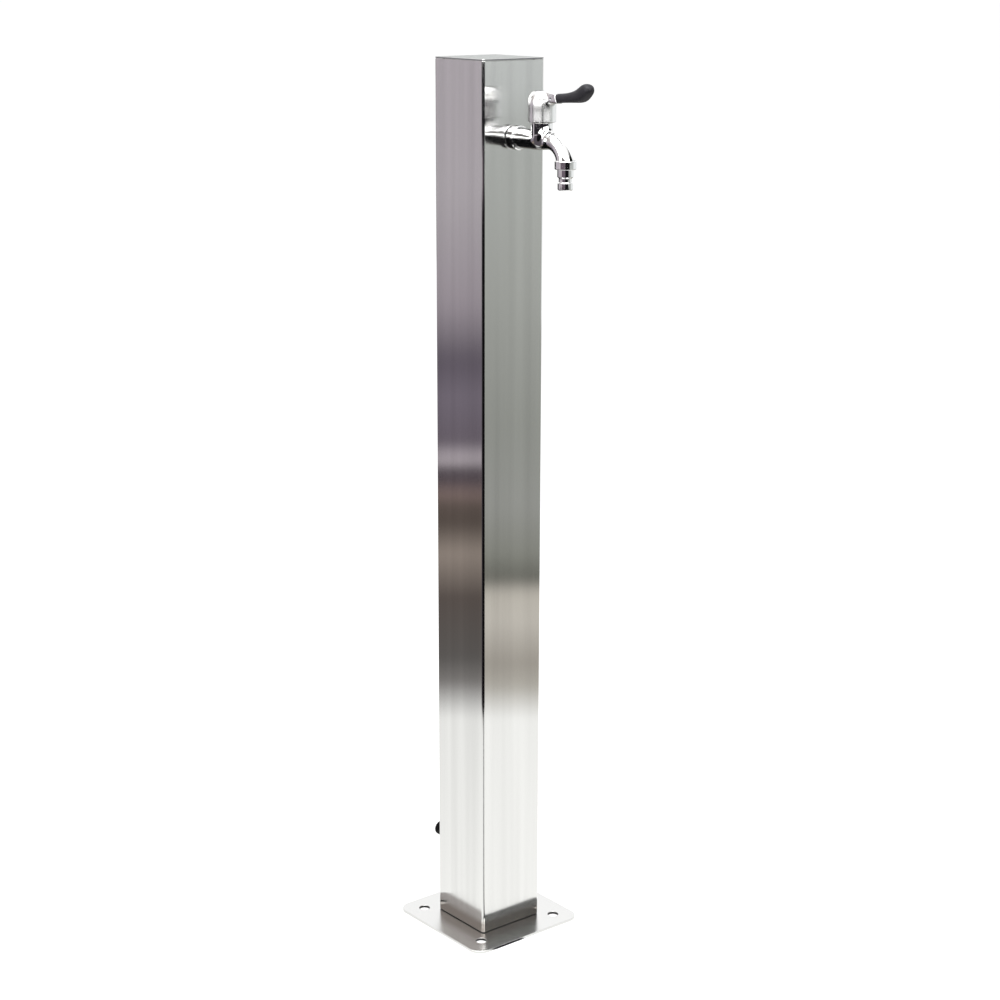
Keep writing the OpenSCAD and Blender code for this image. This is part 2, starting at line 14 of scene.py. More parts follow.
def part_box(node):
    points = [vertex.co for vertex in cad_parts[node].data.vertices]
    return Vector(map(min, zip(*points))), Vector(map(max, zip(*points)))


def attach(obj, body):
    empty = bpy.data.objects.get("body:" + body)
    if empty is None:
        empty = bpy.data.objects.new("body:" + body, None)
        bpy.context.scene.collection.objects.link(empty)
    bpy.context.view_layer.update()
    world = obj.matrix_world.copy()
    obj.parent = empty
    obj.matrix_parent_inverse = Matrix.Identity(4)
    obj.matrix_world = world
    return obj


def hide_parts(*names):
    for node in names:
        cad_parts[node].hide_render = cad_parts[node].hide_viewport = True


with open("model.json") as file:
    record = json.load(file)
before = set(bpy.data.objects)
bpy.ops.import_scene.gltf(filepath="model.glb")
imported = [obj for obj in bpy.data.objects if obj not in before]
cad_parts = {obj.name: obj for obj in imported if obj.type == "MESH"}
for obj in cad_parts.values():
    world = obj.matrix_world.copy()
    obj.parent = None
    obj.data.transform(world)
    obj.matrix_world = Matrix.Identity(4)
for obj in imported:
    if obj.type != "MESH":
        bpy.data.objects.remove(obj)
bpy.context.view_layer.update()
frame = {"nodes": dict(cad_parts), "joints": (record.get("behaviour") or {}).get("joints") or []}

bl_info = {
    "name": "Garden standpipe",
    "version": (1, 0, 0),
    "blender": (4, 5, 0),
    "location": "View3D > Sidebar > Standpipe",
    "description": "Builds the visible pieces and finishes of a garden standpipe round its frame",
    "category": "Object",
}

MM = 0.001
# Points nearer to each other than this are one
TOUCH = 0.001 * MM
# Degrees by which faces turn at a crease, and more than they turn anywhere
CREASE, NO_CREASE = 35, 180
UP = Vector((0, 0, 1))
FORWARD = Vector((0, -1, 0))
BACK = Vector((0, 1, 0))
FIXED, TURNING = "standpipe", "lever"


def middle(name):
    """Centre of a node's box."""
    low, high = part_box(name)
    return (low + high) / 2


# Places that the frame gives
PLATE_LOW, PLATE_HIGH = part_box("base_plate")
POST_LOW, POST_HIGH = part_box("post")
CAP_LOW, CAP_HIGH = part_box("top_cap")
COLLAR_LOW, COLLAR_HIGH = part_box("wall_collar")
SHANK = middle("wall_collar")
TAIL_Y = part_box("tap_body")[1].y
NECK_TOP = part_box("tap_body")[1].z
VALVE_Y = frame["joints"][0]["pos_m"][1]
OUTLET = middle("ring_nut")
NUT_LOW, NUT_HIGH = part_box("ring_nut")
NOSE_LOW, NOSE_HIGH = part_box("hose_nose")
HEAD_LOW, HEAD_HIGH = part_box("lever_head")
INLET = middle("inlet_locknut")
ADAPTER_LOW, ADAPTER_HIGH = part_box("inlet_adapter")
GRUB_SCREW = middle("lever_grub_screw")
GRIP_SCREW = middle("grip_screw")


def ring_share(sides):
    """Radius of a subdivided ring of evenly spaced points, as a share of its cage's radius."""
    return (4 + 2 * cos(2 * pi / sides)) / 6


NECK_SIDES, HEAD_SIDES = 12, 16
NECK_SHARE, HEAD_SHARE = ring_share(NECK_SIDES), ring_share(HEAD_SIDES)


def linear(code):
    """An sRGB hex colour as linear red, green, blue and alpha."""
    parts = [int(code[i:i + 2], 16) / 255 for i in (1, 3, 5)]
    return [p / 12.92 if p <= 0.04045 else ((p + 0.055) / 1.055) ** 2.4 for p in parts] + [1.0]


def times(colour, factor):
    """A linear colour made brighter or darker by a factor."""
    return [part * factor for part in colour[:3]] + [1]


def size(label, about, value):
    """A length that a user may change, given in millimetres."""
    return bpy.props.FloatProperty(name=label, description=about, default=value * MM, min=0,
                                   precision=5, unit="LENGTH")


def tint(label, about, code):
    """A colour that a user may change, given as sRGB hex."""
    return bpy.props.FloatVectorProperty(
        name=label, description=about, default=linear(code), size=4, subtype="COLOR",
        min=0, max=1)


def amount(label, about, value):
    """A plain number that a user may change."""
    return bpy.props.FloatProperty(name=label, description=about, default=value, min=0)


class StandpipePost(PropertyGroup):
    """Sizes of the plate, the post and the cap."""
    corner: size("Post corner", "Outer corner radius of the square tube", 2.6)
    wall: size("Post wall", "Wall thickness of the square tube", 1.5)
    cap_plate: size("Cap plate", "Thickness of the cap", 1.5)
    cap_pad: size("Cap pad", "How far a corner pad under the cap reaches from the corner", 13)
    cap_pad_inset: size("Cap pad inset", "How far the pads stand back from the post's face", 0.3)
    plate_corner: size("Plate corner", "Corner radius of the base plate", 15)
    anchor_pitch: size("Anchor pitch", "Distance between anchor hole centres", 104)
    anchor_hole: size("Anchor hole", "Diameter of an anchor hole", 12)
    service_hole: size("Service hole", "Diameter of the hole in the middle of the plate", 60)
    edge: size("Broken edge", "Width of the rounded sheet edges", 0.35)
    foot: size("Foot bevel", "Bevel on the post's foot, for the weld inside", 1.1)


class StandpipeTap(PropertyGroup):
    """Sizes of the tap's casting, its ring nut and its nose."""
    shank: size("Shank radius", "Radius of the shank", 10.1)
    neck: size("Neck radius", "Radius of the neck under the lever", 11)
    neck_bore: size("Neck bore", "Radius of the thread inside the neck", 9.1)
    boss: size("Boss radius", "Radius of the end of the spout", 9.05)
    way: size("Water way", "Radius of the water way in spout and shank", 4.6)
    groove: size("Groove radius", "Radius at the bottom of the nose's groove", 6.6)
    nose: size("Nose radius", "Radius of the nose above its groove", 8.15)
    nose_end: size("Nose end radius", "Radius of the nose below its groove", 7.7)
    groove_low: size("Groove height", "Height of the groove above the nose's tip", 7.8)
    groove_width: size("Groove width", "Height of the groove itself", 5.4)


class StandpipeLever(PropertyGroup):
    """Sizes of the lever's head and grip."""
    dome: size("Dome height", "Height over which the head rounds in to its top", 12)
    dome_width: size("Dome width", "Width over which the head rounds in to its top", 9)
    cavity: size("Cavity radius", "Radius of the hollow under the head", 12.2)
    cavity_depth: size("Cavity depth", "Depth of the hollow under the head", 12.5)
    tongue_low: size("Tongue height", "Height of the tongue's underside over the head's", 19.5)
    tongue_width: size("Tongue width", "Width of the tongue and of the grip's root", 9)
    tongue_reach: size("Tongue reach", "Distance from the valve axis to the tongue's end", 25.8)
    root_height: size("Root height", "Height of the grip where it leaves the tongue", 9)
    end_width: size("End width", "Width of the grip at its end", 13)


class StandpipeInlet(PropertyGroup):
    """Sizes of the hose inlet low on the back."""
    nose: size("Nose radius", "Radius of the inlet's nose", 8)
    collar: size("Collar radius", "Radius of the collar between its ribs", 16.2)
    rib: size("Rib height", "How far a rib stands out of the collar", 0.7)
    thread: size("Thread radius", "Radius of the thread in the collar and the locknut", 13.2)
    bore: size("Bore radius", "Radius of the water way in the nose", 4.5)


class StandpipeFinish(PropertyGroup):
    """Colours of the finishes."""
    stainless: tint("Stainless steel", "Brushed post, cap and plate", "#D9D9D8")
    edge: tint("Cut edge", "Oxide on laser-cut edges", "#1A1918")
    sheared: tint("Sheared edge", "Edges of the cap", "#6E7074")
    chrome: tint("Chrome", "Plating on the tap", "#EDEDEE")
    grip: tint("Grip", "Dipped vinyl on the lever", "#27262B")
    nylon: tint("Nylon", "Moulded inlet nose", "#0E0E0F")
    rubber: tint("Rubber", "Gaskets and rings", "#161616")
    brass: tint("Brass", "Headwork, elbows and nuts", "#C7A566")
    nickel: tint("Nickel plate", "Headwork under the lever", "#8A867F")
    zinc: tint("Zinc plate", "Screws, clip and riser", "#B4B7BA")
    fibre: tint("Fibre", "Sealing washers", "#84362B")
    ceramic: tint("Ceramic", "Valve discs", "#ECE8DF")


class StandpipeStudio(PropertyGroup):
    """Camera and lights of the stage."""
    lens: amount("Focal length", "Focal length in millimetres on a 36 mm sensor", 74.03)
    white: amount("White", "Strength at which the backdrop is white for the camera", 1.0)
    ambient: amount("Ambient", "Strength of the soft light from all round", 0.75)
    key: amount("Key light", "Power of the softbox overhead, in watts", 34.0)
    gain: amount("Reflection gain", "Brightness of what polished metal mirrors", 1.42)


def settings(group):
    """The scene's copy of one property group."""
    return getattr(bpy.context.scene, "standpipe_" + group)


def only(geometry, kind):
    """The points, the edges or the faces in what an operator returns."""
    return [item for item in geometry if isinstance(item, kind)]


def centred(bm, test):
    """The faces whose centre passes a test."""
    return [face for face in bm.faces if test(face.calc_center_median())]


def along(start, axis):
    """The matrix that stands a shape built up along Z on a point and turns it to an axis."""
    return Matrix.Translation(start) @ UP.rotation_difference(axis).to_matrix().to_4x4()


def turned(bm, outline, foot, axis, steps=96):
    """Spins a closed outline of (radius, height) round an axis that starts at a foot."""
    stand = along(foot, axis)
    points = [bm.verts.new(stand @ Vector((r, 0, h))) for r, h in outline]
    lines = [bm.edges.new(pair) for pair in zip(points, points[1:] + points[:1])]
    bmesh.ops.spin(bm, geom=points + lines, cent=foot, axis=axis, angle=2 * pi,
                   steps=steps, use_merge=True)
    bmesh.ops.remove_doubles(bm, verts=bm.verts, dist=TOUCH)


def bevel(bm, geometry, width, segments, affect="EDGES", clamp=True):
    """Rounds edges, or the corners of a flat face, over a width."""
    bmesh.ops.bevel(bm, geom=geometry, offset=width, offset_type="OFFSET", segments=segments,
                    profile=0.5, affect=affect, clamp_overlap=clamp, material=-1)


def soften(bm, width, segments=2, limit=28):
    """Rounds every edge whose faces turn by more than a limit in degrees."""
    sharp = [e for e in bm.edges if e.is_manifold and e.calc_face_angle() > radians(limit)]
    bevel(bm, sharp, width, segments)


def rounded_square(bm, half, radius, z, steps=8):
    """A flat square face with round corners, centred on the post's axis."""
    stand = Matrix.Translation((0, 0, z)) @ Matrix.Rotation(pi / 4, 4, "Z")
    made = bmesh.ops.create_circle(bm, cap_ends=True, segments=4, radius=half * sqrt(2),
                                   matrix=stand)
    bevel(bm, made["verts"], radius, steps, "VERTICES", False)


def raise_faces(bm, faces, way):
    """Extrudes faces along a vector and leaves a closed solid."""
    made = bmesh.ops.extrude_face_region(bm, geom=faces, use_keep_orig=True)["geom"]
    bmesh.ops.translate(bm, verts=only(made, BMVert), vec=way)


def square_tube(bm, half, radius, wall, low, high):
    """A square tube with round corners, standing from one height to another."""
    before = set(bm.faces)
    rounded_square(bm, half, radius, low)
    face = [f for f in bm.faces if f not in before]
    bmesh.ops.inset_region(bm, faces=face, thickness=wall, use_boundary=True,
                           use_even_offset=True)
    bmesh.ops.delete(bm, geom=face, context="FACES")
    raise_faces(bm, [f for f in bm.faces if f not in before], (0, 0, high - low))


def linked(name, bm):
    """An object made of a finished bmesh, linked to the scene."""
    mesh = bpy.data.meshes.new(name)
    bm.to_mesh(mesh)
    bm.free()
    made = bpy.data.objects.new(name, mesh)
    bpy.context.scene.collection.objects.link(made)
    return made


def place(bm, name, node, coat, body=FIXED, crease=CREASE):
    """Makes a piece of a bmesh in a node's stead, coats it and lets it ride on its body."""
    bmesh.ops.remove_doubles(bm, verts=bm.verts, dist=TOUCH)
    bmesh.ops.recalc_face_normals(bm, faces=bm.faces)
    piece = linked(name, bm)
    piece.data.shade_smooth()
    piece.data.set_sharp_from_angle(angle=radians(crease))
    piece.data.materials.append(coat)
    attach(piece, body)
    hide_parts(node)
    return piece


def recoat(piece, coat, chosen):
    """Gives the faces that a test picks a second finish."""
    piece.data.materials.append(coat)
    for face in piece.data.polygons:
        if chosen(face):
            face.material_index = len(piece.data.materials) - 1


def even_shading(piece):
    """Keeps large flat faces flat beside their small rounded edges."""
    weigh = piece.modifiers.new("Even shading", "WEIGHTED_NORMAL")
    weigh.keep_sharp = True


def chrome_turning(name, node, outline, foot, axis, edge):
    """A turned piece of the tap with broken edges, polished and plated."""
    bm = bmesh.new()
    turned(bm, outline, foot, axis)
    soften(bm, edge, 3)
    even_shading(place(bm, name, node, tap_chrome()))


def subdivide(piece, levels=3):
    """Adds a subdivision surface with the same level in the view and the render."""
    smooth = piece.modifiers.new("Subdivision", "SUBSURF")
    smooth.levels = levels
    smooth.render_levels = levels


def drill(piece, holes):
    """Cuts round holes, each a start, an axis, a radius and a length, and keeps the result."""
    bm = bmesh.new()
    for start, axis, radius, length in holes:
        bmesh.ops.create_cone(bm, cap_ends=True, segments=64, radius1=radius, radius2=radius,
                              depth=length, matrix=along(start + axis * length / 2, axis))
    tool = linked("drill", bm)
    cut = piece.modifiers.new("Holes", "BOOLEAN")
    cut.operation = "DIFFERENCE"
    cut.solver = "EXACT"
    cut.object = tool
    graph = bpy.context.evaluated_depsgraph_get()
    piece_mesh = bpy.data.meshes.new_from_object(piece.evaluated_get(graph))
    piece.modifiers.clear()
    piece.data = piece_mesh
    piece_mesh.set_sharp_from_angle(angle=radians(CREASE))
    bpy.data.objects.remove(tool)


def step(bm, edges, shape):
    """Extrudes a ring of edges once and puts its new points where a function says."""
    made = bmesh.ops.extrude_edge_only(bm, edges=edges)["geom"]
    for point in only(made, BMVert):
        point.co = shape(point.co)
    return only(made, BMEdge)


def signed_power(part, power):
    """A sine or cosine raised to a power with its sign kept: under 1 it squares a round section."""
    return abs(part) ** power * (1 if part > 0 else -1)


def loft(bm, sections, sides, powers=(1, 1)):
    """Skins a body along the tap's plane and returns the edges of its first and last ring.

    A section is its lowest and its highest point, each a distance in front of the valve and a
    height over the shank's axis, and half its width, all in millimetres. The subdivided surface
    passes through the sections, so each cage ring stands out from its section by a sixth of the
    bend there, and by the share that a ring of that many sides loses."""
    turn = bm.verts.layers.float.new("turn")
    values = [Vector((*low, *high)) for low, high, half in sections]
    halves = [half for low, high, half in sections]
    share = ring_share(sides)
    bmesh.ops.create_circle(bm, segments=sides, radius=1)
    for point in bm.verts:
        point[turn] = atan2(point.co.y, point.co.x)
    first = edges = bm.edges[:]
    fresh = bm.verts[:]
    for index, value in enumerate(values):
        if index:
            made = bmesh.ops.extrude_edge_only(bm, edges=edges)["geom"]
            edges, fresh = only(made, BMEdge), only(made, BMVert)
        half = halves[index]
        if 0 < index < len(values) - 1:
            value = value - (values[index - 1] - 2 * value + values[index + 1]) / 6
            half -= (halves[index - 1] - 2 * half + halves[index + 1]) / 6
        low, high = value.xy, value.zw
        for point in fresh:
            across = signed_power(cos(point[turn]) / share, powers[0])
            up = signed_power(sin(point[turn]) / share, powers[1])
            ahead, height = (low + high) / 2 + (high - low) / 2 * up
            point.co = Vector((half * across * MM, VALVE_Y - ahead * MM, SHANK.z + height * MM))
    bm.verts.layers.float.remove(turn)
    return first, edges


def tilted(ahead, height, lean, half_height, half_width):
    """A section by its centre, its lean forward in degrees and its half sizes, in millimetres."""
    top = Vector((sin(radians(lean)), cos(radians(lean)))) * half_height
    centre = Vector((ahead, height))
    return centre - top, centre + top, half_width


def feed(tree, node, links):
    """Sets a node's inputs: each to a value, an output, or another node's first live output."""
    for key, value in links.items():
        if isinstance(value, bpy.types.Node):
            value = next(output for output in value.outputs if output.enabled)
        if isinstance(value, bpy.types.NodeSocket):
            tree.links.new(value, node.inputs[key])
        else:
            node.inputs[key].default_value = value


def add(tree, kind, links=None, stops=(), **options):
    """Adds a shader node, sets its options, then its inputs.

    The stops of a colour ramp are pairs of a position and a linear colour."""
    made = tree.nodes.new("ShaderNode" + kind)
    for key, value in options.items():
        setattr(made, key, value)
    feed(tree, made, links or {})
    if stops:
        points = made.color_ramp.elements
        while len(points) < len(stops):
            points.new(0.5)
        for point, (position, colour) in zip(points, stops):
            point.position = position
        for point, (position, colour) in zip(points, stops):
            point.color = colour
    return made


def pattern(tree, spacing, detail):
    """A noise on the object's own coordinates; spacing is its grain along X, Y and Z in mm."""
    coords = add(tree, "TexCoord").outputs["Object"]
    scaled = add(tree, "Mapping", {"Vector": coords, "Scale": [1 / (s * MM) for s in spacing]})
    return add(tree, "TexNoise", {"Vector": scaled, "Scale": 1.0, "Detail": detail})


def surface(name, colour, metallic, roughness, grain, share, gloss=None, clouds=None, relief=None,
            specular=0.5):
    """A named material with one Principled shader.

    Grain and clouds are patterns, each a spacing and a detail. The colour varies by a share with
    the clouds, or with the grain where there are none. Gloss is the range of roughness over the
    grain, and relief is the bump's strength and its depth in millimetres."""
    made = bpy.data.materials.new(name)
    made.use_nodes = True
    tree = made.node_tree
    shader = tree.nodes["Principled BSDF"]
    feed(tree, shader, {"Base Color": colour, "Metallic": metallic, "Roughness": roughness,
                        "Specular IOR Level": specular})
    fine = pattern(tree, *grain)
    if gloss:
        feed(tree, shader, {"Roughness": add(tree, "MapRange", {
            "Value": fine, "From Min": 0.3, "From Max": 0.7, "To Min": gloss[0],
            "To Max": gloss[1]})})
    light = [min(part, 1) for part in times(colour, 1 + share)]
    cloudy = add(tree, "ValToRGB", {"Fac": pattern(tree, *clouds) if clouds else fine},
                 [(0.3, times(colour, 1 - share)), (0.7, light)])
    feed(tree, shader, {"Base Color": cloudy})
    if relief:
        feed(tree, shader, {"Normal": add(tree, "Bump", {
            "Height": fine, "Strength": relief[0], "Distance": relief[1] * MM})})
    return made


def brushed_stainless(name, grain, colour, roughness=0.11, smear=1.0, shaded_foot=False):
    """Stainless sheet, belt-brushed: fine parallel scratches that smear mirror images across them.

    With a shaded foot the sheet is painted a darker brown-grey just over the plate: painted shade
    where the post stands on it."""
    # The scratches are some 0.05 mm apart; they are drawn ten times coarser so that they show.
    # Belt passes some 14 mm wide leave the sheet a little lighter or darker
    made = surface(name, colour, 1.0, roughness, share=0.055,
                   grain=([0.5 + 90 * abs(part) for part in grain], 4.0),
                   clouds=([14 + 700 * abs(part) for part in grain], 1.0),
                   gloss=(roughness - 0.02, roughness + 0.03), relief=(0.12, 0.02))
    tree = made.node_tree
    shader = tree.nodes["Principled BSDF"]
    # Painted shade: below a height of 11 mm the sheet is painted brown-grey, and this fades out by 22
    # mm, just over the plate
    if shaded_foot:
        place_on_post = add(tree, "TexCoord").outputs["Object"]
        height = add(tree, "SeparateXYZ", {"Vector": place_on_post}).outputs["Z"]
        clean = add(tree, "MapRange", {"Value": height, "From Min": 11 * MM, "From Max": 22 * MM},
                    interpolation_type="SMOOTHSTEP")
        bare = shader.inputs["Base Color"].links[0].from_socket
        feed(tree, shader, {"Base Color": add(tree, "Mix", {
            "Factor": clean, "A": linear("#A9A39E"), "B": bare}, data_type="RGBA")})
    # A slight slant keeps the direction defined on faces that the grain meets head-on
    slanted = [part + slant for part, slant in zip(grain, (0.03, 0.02, 0.01))]
    facing = add(tree, "NewGeometry").outputs["Normal"]
    across = add(tree, "VectorMath", {0: facing, 1: slanted}, operation="CROSS_PRODUCT")
    feed(tree, shader, {"Anisotropic": smear, "Tangent": across})
    return made


def cut_edge(name, colour):
    """Cut edge of stainless sheet: matt, dark with oxide from the laser or grey from the shear."""
    return surface(name, colour, 0.0, 0.5, grain=((0.4, 0.4, 4), 3.0), share=0.2,
                   gloss=(0.5, 0.7))


def chrome_plate(name, colour, roughness=0.05):
    """Chrome over polished brass: a clean mirror with faint buffing haze, or satin where rougher."""
    return surface(name, colour, 1.0, roughness, grain=((6, 6, 6), 3.0), share=0.02,
                   gloss=(roughness - 0.012, roughness + 0.018), clouds=((14, 14, 14), 2.0))


def dipped_vinyl(name, colour):
    """Soft vinyl on the lever: satin, with a fine orange peel from dipping."""
    return surface(name, colour, 0.0, 0.5, grain=((0.7, 0.7, 0.7), 2.0), share=0.12,
                   gloss=(0.46, 0.58), clouds=((9, 9, 9), 3.0), relief=(0.25, 0.05), specular=0.3)


def moulded_nylon(name, colour):
    """Glass-filled nylon as it leaves the mould: matt, with a spark-eroded grain."""
    return surface(name, colour, 0.0, 0.6, grain=((0.35, 0.35, 0.35), 3.0), share=0.15,
                   gloss=(0.52, 0.7), clouds=((12, 12, 12), 3.0), relief=(0.3, 0.05),
                   specular=0.05)


def cured_rubber(name, colour):
    """Cured rubber: dull, with a dusting of bloom."""
    return surface(name, colour, 0.0, 0.8, grain=((2, 2, 2), 4.0), share=0.25,
                   relief=(0.2, 0.05))


def turned_brass(name, colour):
    """Turned brass: warm metal with tool marks and a little tarnish."""
    return surface(name, colour, 1.0, 0.28, grain=((4, 4, 0.3), 3.0), share=0.12,
                   gloss=(0.2, 0.36), clouds=((7, 7, 7), 4.0), relief=(0.1, 0.02))


def dull_plate(name, colour):
    """Zinc on steel or nickel on brass, plated and not polished: grey and softly clouded."""
    return surface(name, colour, 1.0, 0.34, grain=((3, 3, 3), 4.0), share=0.08,
                   gloss=(0.28, 0.42))


def vulcan_fibre(name, colour):
    """Vulcanised fibre: dull red-brown, with a laid paper grain."""
    return surface(name, colour, 0.0, 0.75, grain=((0.4, 4, 0.4), 3.0), share=0.2,
                   relief=(0.2, 0.05))


def lapped_ceramic(name, colour):
    """Alumina, lapped flat: off-white and glossy."""
    return surface(name, colour, 0.0, 0.12, grain=((1, 1, 1), 3.0), share=0.03,
                   gloss=(0.08, 0.2))


def shared(name, make, *values):
    """A finish that several pieces share: made once, then found again by its name."""
    return bpy.data.materials.get(name) or make(name, *values)


def post_steel():
    """Tube brushed along the post, with painted shade at its foot."""
    return shared("Brushed stainless, upright", brushed_stainless, (0, 0, 1),
                  settings("finish").stainless, 0.11, 1.0, True)


def sheet_steel():
    """Sheet of the cap, brushed along the tap."""
    return shared("Brushed stainless, flat", brushed_stainless, (0, 1, 0),
                  settings("finish").stainless)


def rolled_steel():
    """Sheet of the base plate as it leaves the rolls, hardly brushed."""
    return shared("Cold-rolled stainless", brushed_stainless, (1, 1, 0),
                  settings("finish").stainless, 0.22, 0.2)


def sheared_edge():
    """Grey rim of the cap."""
    return shared("Sheared edge", cut_edge, settings("finish").sheared)


def laser_edge():
    """Dark walls of the plate's holes and dark foot of the post."""
    return shared("Laser-cut edge", cut_edge, settings("finish").edge)


def tap_chrome():
    """Plating of the casting, the collar, the ring nut and the nose."""
    return shared("Chrome plate", chrome_plate, settings("finish").chrome)


# Place, turn, tilt and roll of a camera fitted to the corners of plate, post and cap
CAMERA_PLACE = Vector((-1.3409, -1.6719, 1.0574))
CAMERA_TURN = radians(-39.05)
CAMERA_DOWN = radians(14.90)
CAMERA_ROLL = radians(0.14)
# Place, aim and sides of the softbox overhead, and the floor's radius, in metres
SOFTBOX_PLACE, SOFTBOX_AIM = Vector((-0.5, -0.3, 2.6)), Vector((0, 0, 0.6))
SOFTBOX_SIDES = (1.6, 1.2)
FLOOR_RADIUS = 60

# What polished metal mirrors: tones from straight down (0) over the horizon (0.5) to straight up (1).
# Near the post lies white paper, then the dim studio floor with a lit strip across its left side,
# and a softbox hangs overhead
RIGHT_TONES = [
    (0.0, "#F4F4F2"), (0.203, "#EFEFED"), (0.224, "#ADA9A1"), (0.24, "#9C978F"),
    (0.264, "#BDB8B0"), (0.28, "#BAB5AC"), (0.288, "#5F5F59"), (0.3, "#82837C"),
    (0.325, "#92938F"), (0.36, "#8F918C"), (0.42, "#A0A29E"), (0.457, "#A9ACA9"),
    (0.47, "#BEC1C0"), (0.57, "#A0A2A0"), (0.62, "#131512"), (0.76, "#131512"),
    (0.85, "#E4E4E2"), (1.0, "#F6F6F6")]
LEFT_TONES = [
    (0.0, "#F2F2F0"), (0.20, "#E6E6E4"), (0.225, "#7A7775"), (0.24, "#5A5755"),
    (0.2775, "#564E4A"), (0.3, "#8E837B"), (0.3155, "#514843"), (0.324, "#584E49"),
    (0.3295, "#806E6A"), (0.335, "#4C444A"), (0.3429, "#443C42"), (0.3447, "#E4DAE0"),
    (0.3464, "#DCD2D8"), (0.3484, "#5F5760"), (0.371, "#6F6772"), (0.385, "#5A535D"),
    (0.405, "#958D94"), (0.44, "#A8A2A7"), (0.5, "#ADA6AC"), (0.62, "#ABA6A5"),
    (0.74, "#A39C98"), (0.84, "#DAD8D8"), (1.0, "#F6F6F6")]
# Flats round the set: azimuth and half width in degrees, lowest and highest tone height, colour,
# and how bright each is beside the paper
CARDS = [
    (0, 55, 0.42, 0.585, "#B4B7B6", 1), (0, 55, 0.585, 1.0, "#F6F6F6", 1),
    (27, 27, 0.42, 0.495, "#060607", 1), (176, 68, 0.56, 1.0, "#F6F6F4", 2.9),
    (176, 68, 0.48, 0.56, "#F6F6F4", 2.4), (108, 15, 0.215, 0.44, "#4A454A", 1),
    (183, 56, 0.215, 0.44, "#0C0C0D", 1), (150, 22, 0.44, 0.48, "#61575F", 1),
    (199, 22, 0.44, 0.48, "#121214", 1), (199, 12, 0.0, 0.215, "#202022", 1),
    (114, 8, 0.44, 0.452, "#B3ACAF", 1), (169, 78, 0.455, 0.48, "#1C1A1E", 1),
    (183, 5, 0.48, 0.56, "#202020", 1), (168, 34, 0.64, 0.77, "#6A6866", 1),
    (-48, 40, 0.40, 0.56, "#D6D8D7", 1)]
# Where the left tones take over from the right ones: azimuth, half width and soft edge in degrees
LEFT_SIDE = (90, 75, 30)


def flat_direction(azimuth):
    """Level unit vector at an angle from the direction that the camera looks in, to the left."""
    ahead = CAMERA_TURN + radians(azimuth)
    return Vector((-sin(ahead), cos(ahead), 0))


def sector(tree, level, azimuth, half, soft=4):
    """One within a sector of the studio, seen from the post, and nothing outside it."""
    facing = add(tree, "VectorMath", {0: level, 1: flat_direction(azimuth)},
                 operation="DOT_PRODUCT")
    return add(tree, "MapRange", {
        "Value": facing, "From Min": cos(radians(half + soft)), "From Max": cos(radians(half))},
        interpolation_type="SMOOTHSTEP")


def band(tree, height, low, high, soft=0.004):
    """One between two heights of the tone scale."""
    rise = add(tree, "MapRange", {"Value": height, "From Min": low - soft, "From Max": low})
    fall = add(tree, "MapRange", {"Value": height, "From Min": high, "From Max": high + soft,
                                  "To Min": 1.0, "To Max": 0.0})
    return add(tree, "Math", {0: rise, 1: fall}, operation="MULTIPLY")


def mirrored_studio(tree, direction, height):
    """Colour of the studio in a direction, for what metal mirrors."""
    level = add(tree, "VectorMath", {0: direction, 1: (1, 1, 0)}, operation="MULTIPLY")
    level = add(tree, "VectorMath", {0: level}, operation="NORMALIZE")
    gain = settings("studio").gain
    right, left = [
        add(tree, "ValToRGB", {"Fac": height},
            [(at, times(linear(code), gain)) for at, code in stops])
        for stops in (RIGHT_TONES, LEFT_TONES)]
    colour = add(tree, "Mix", {"Factor": sector(tree, level, *LEFT_SIDE), "A": right, "B": left},
                 data_type="RGBA")
    for azimuth, half, low, high, code, strength in CARDS:
        mask = add(tree, "Math", {0: sector(tree, level, azimuth, half),
                                  1: band(tree, height, low, high)}, operation="MULTIPLY")
        card = times(linear(code), gain * strength)
        colour = add(tree, "Mix", {"Factor": mask, "A": colour, "B": card}, data_type="RGBA")
    return colour


def set_world():
    """Soft light from all round, white for the camera and the studio's tones for metal."""
    studio = settings("studio")
    world = bpy.data.worlds.new("Studio")
    bpy.context.scene.world = world
    world.use_nodes = True
    tree = world.node_tree
    tree.nodes.clear()
    direction = add(tree, "TexCoord").outputs["Generated"]
    up = add(tree, "SeparateXYZ", {"Vector": direction}).outputs["Z"]
    height = add(tree, "Math", {0: up, 1: 0.5, 2: 0.5}, operation="MULTIPLY_ADD")
    ray = add(tree, "LightPath").outputs
    soft = add(tree, "Background", {"Color": (1, 1, 1, 1), "Strength": studio.ambient})
    white = add(tree, "Background", {"Color": (1, 1, 1, 1), "Strength": studio.white})
    mirror = add(tree, "Background", {"Color": mirrored_studio(tree, direction, height)})
    seen = add(tree, "MixShader", {0: ray["Is Camera Ray"], 1: soft, 2: white})
    both = add(tree, "MixShader", {0: ray["Is Glossy Ray"], 1: seen, 2: mirror})
    add(tree, "OutputWorld", {"Surface": both})


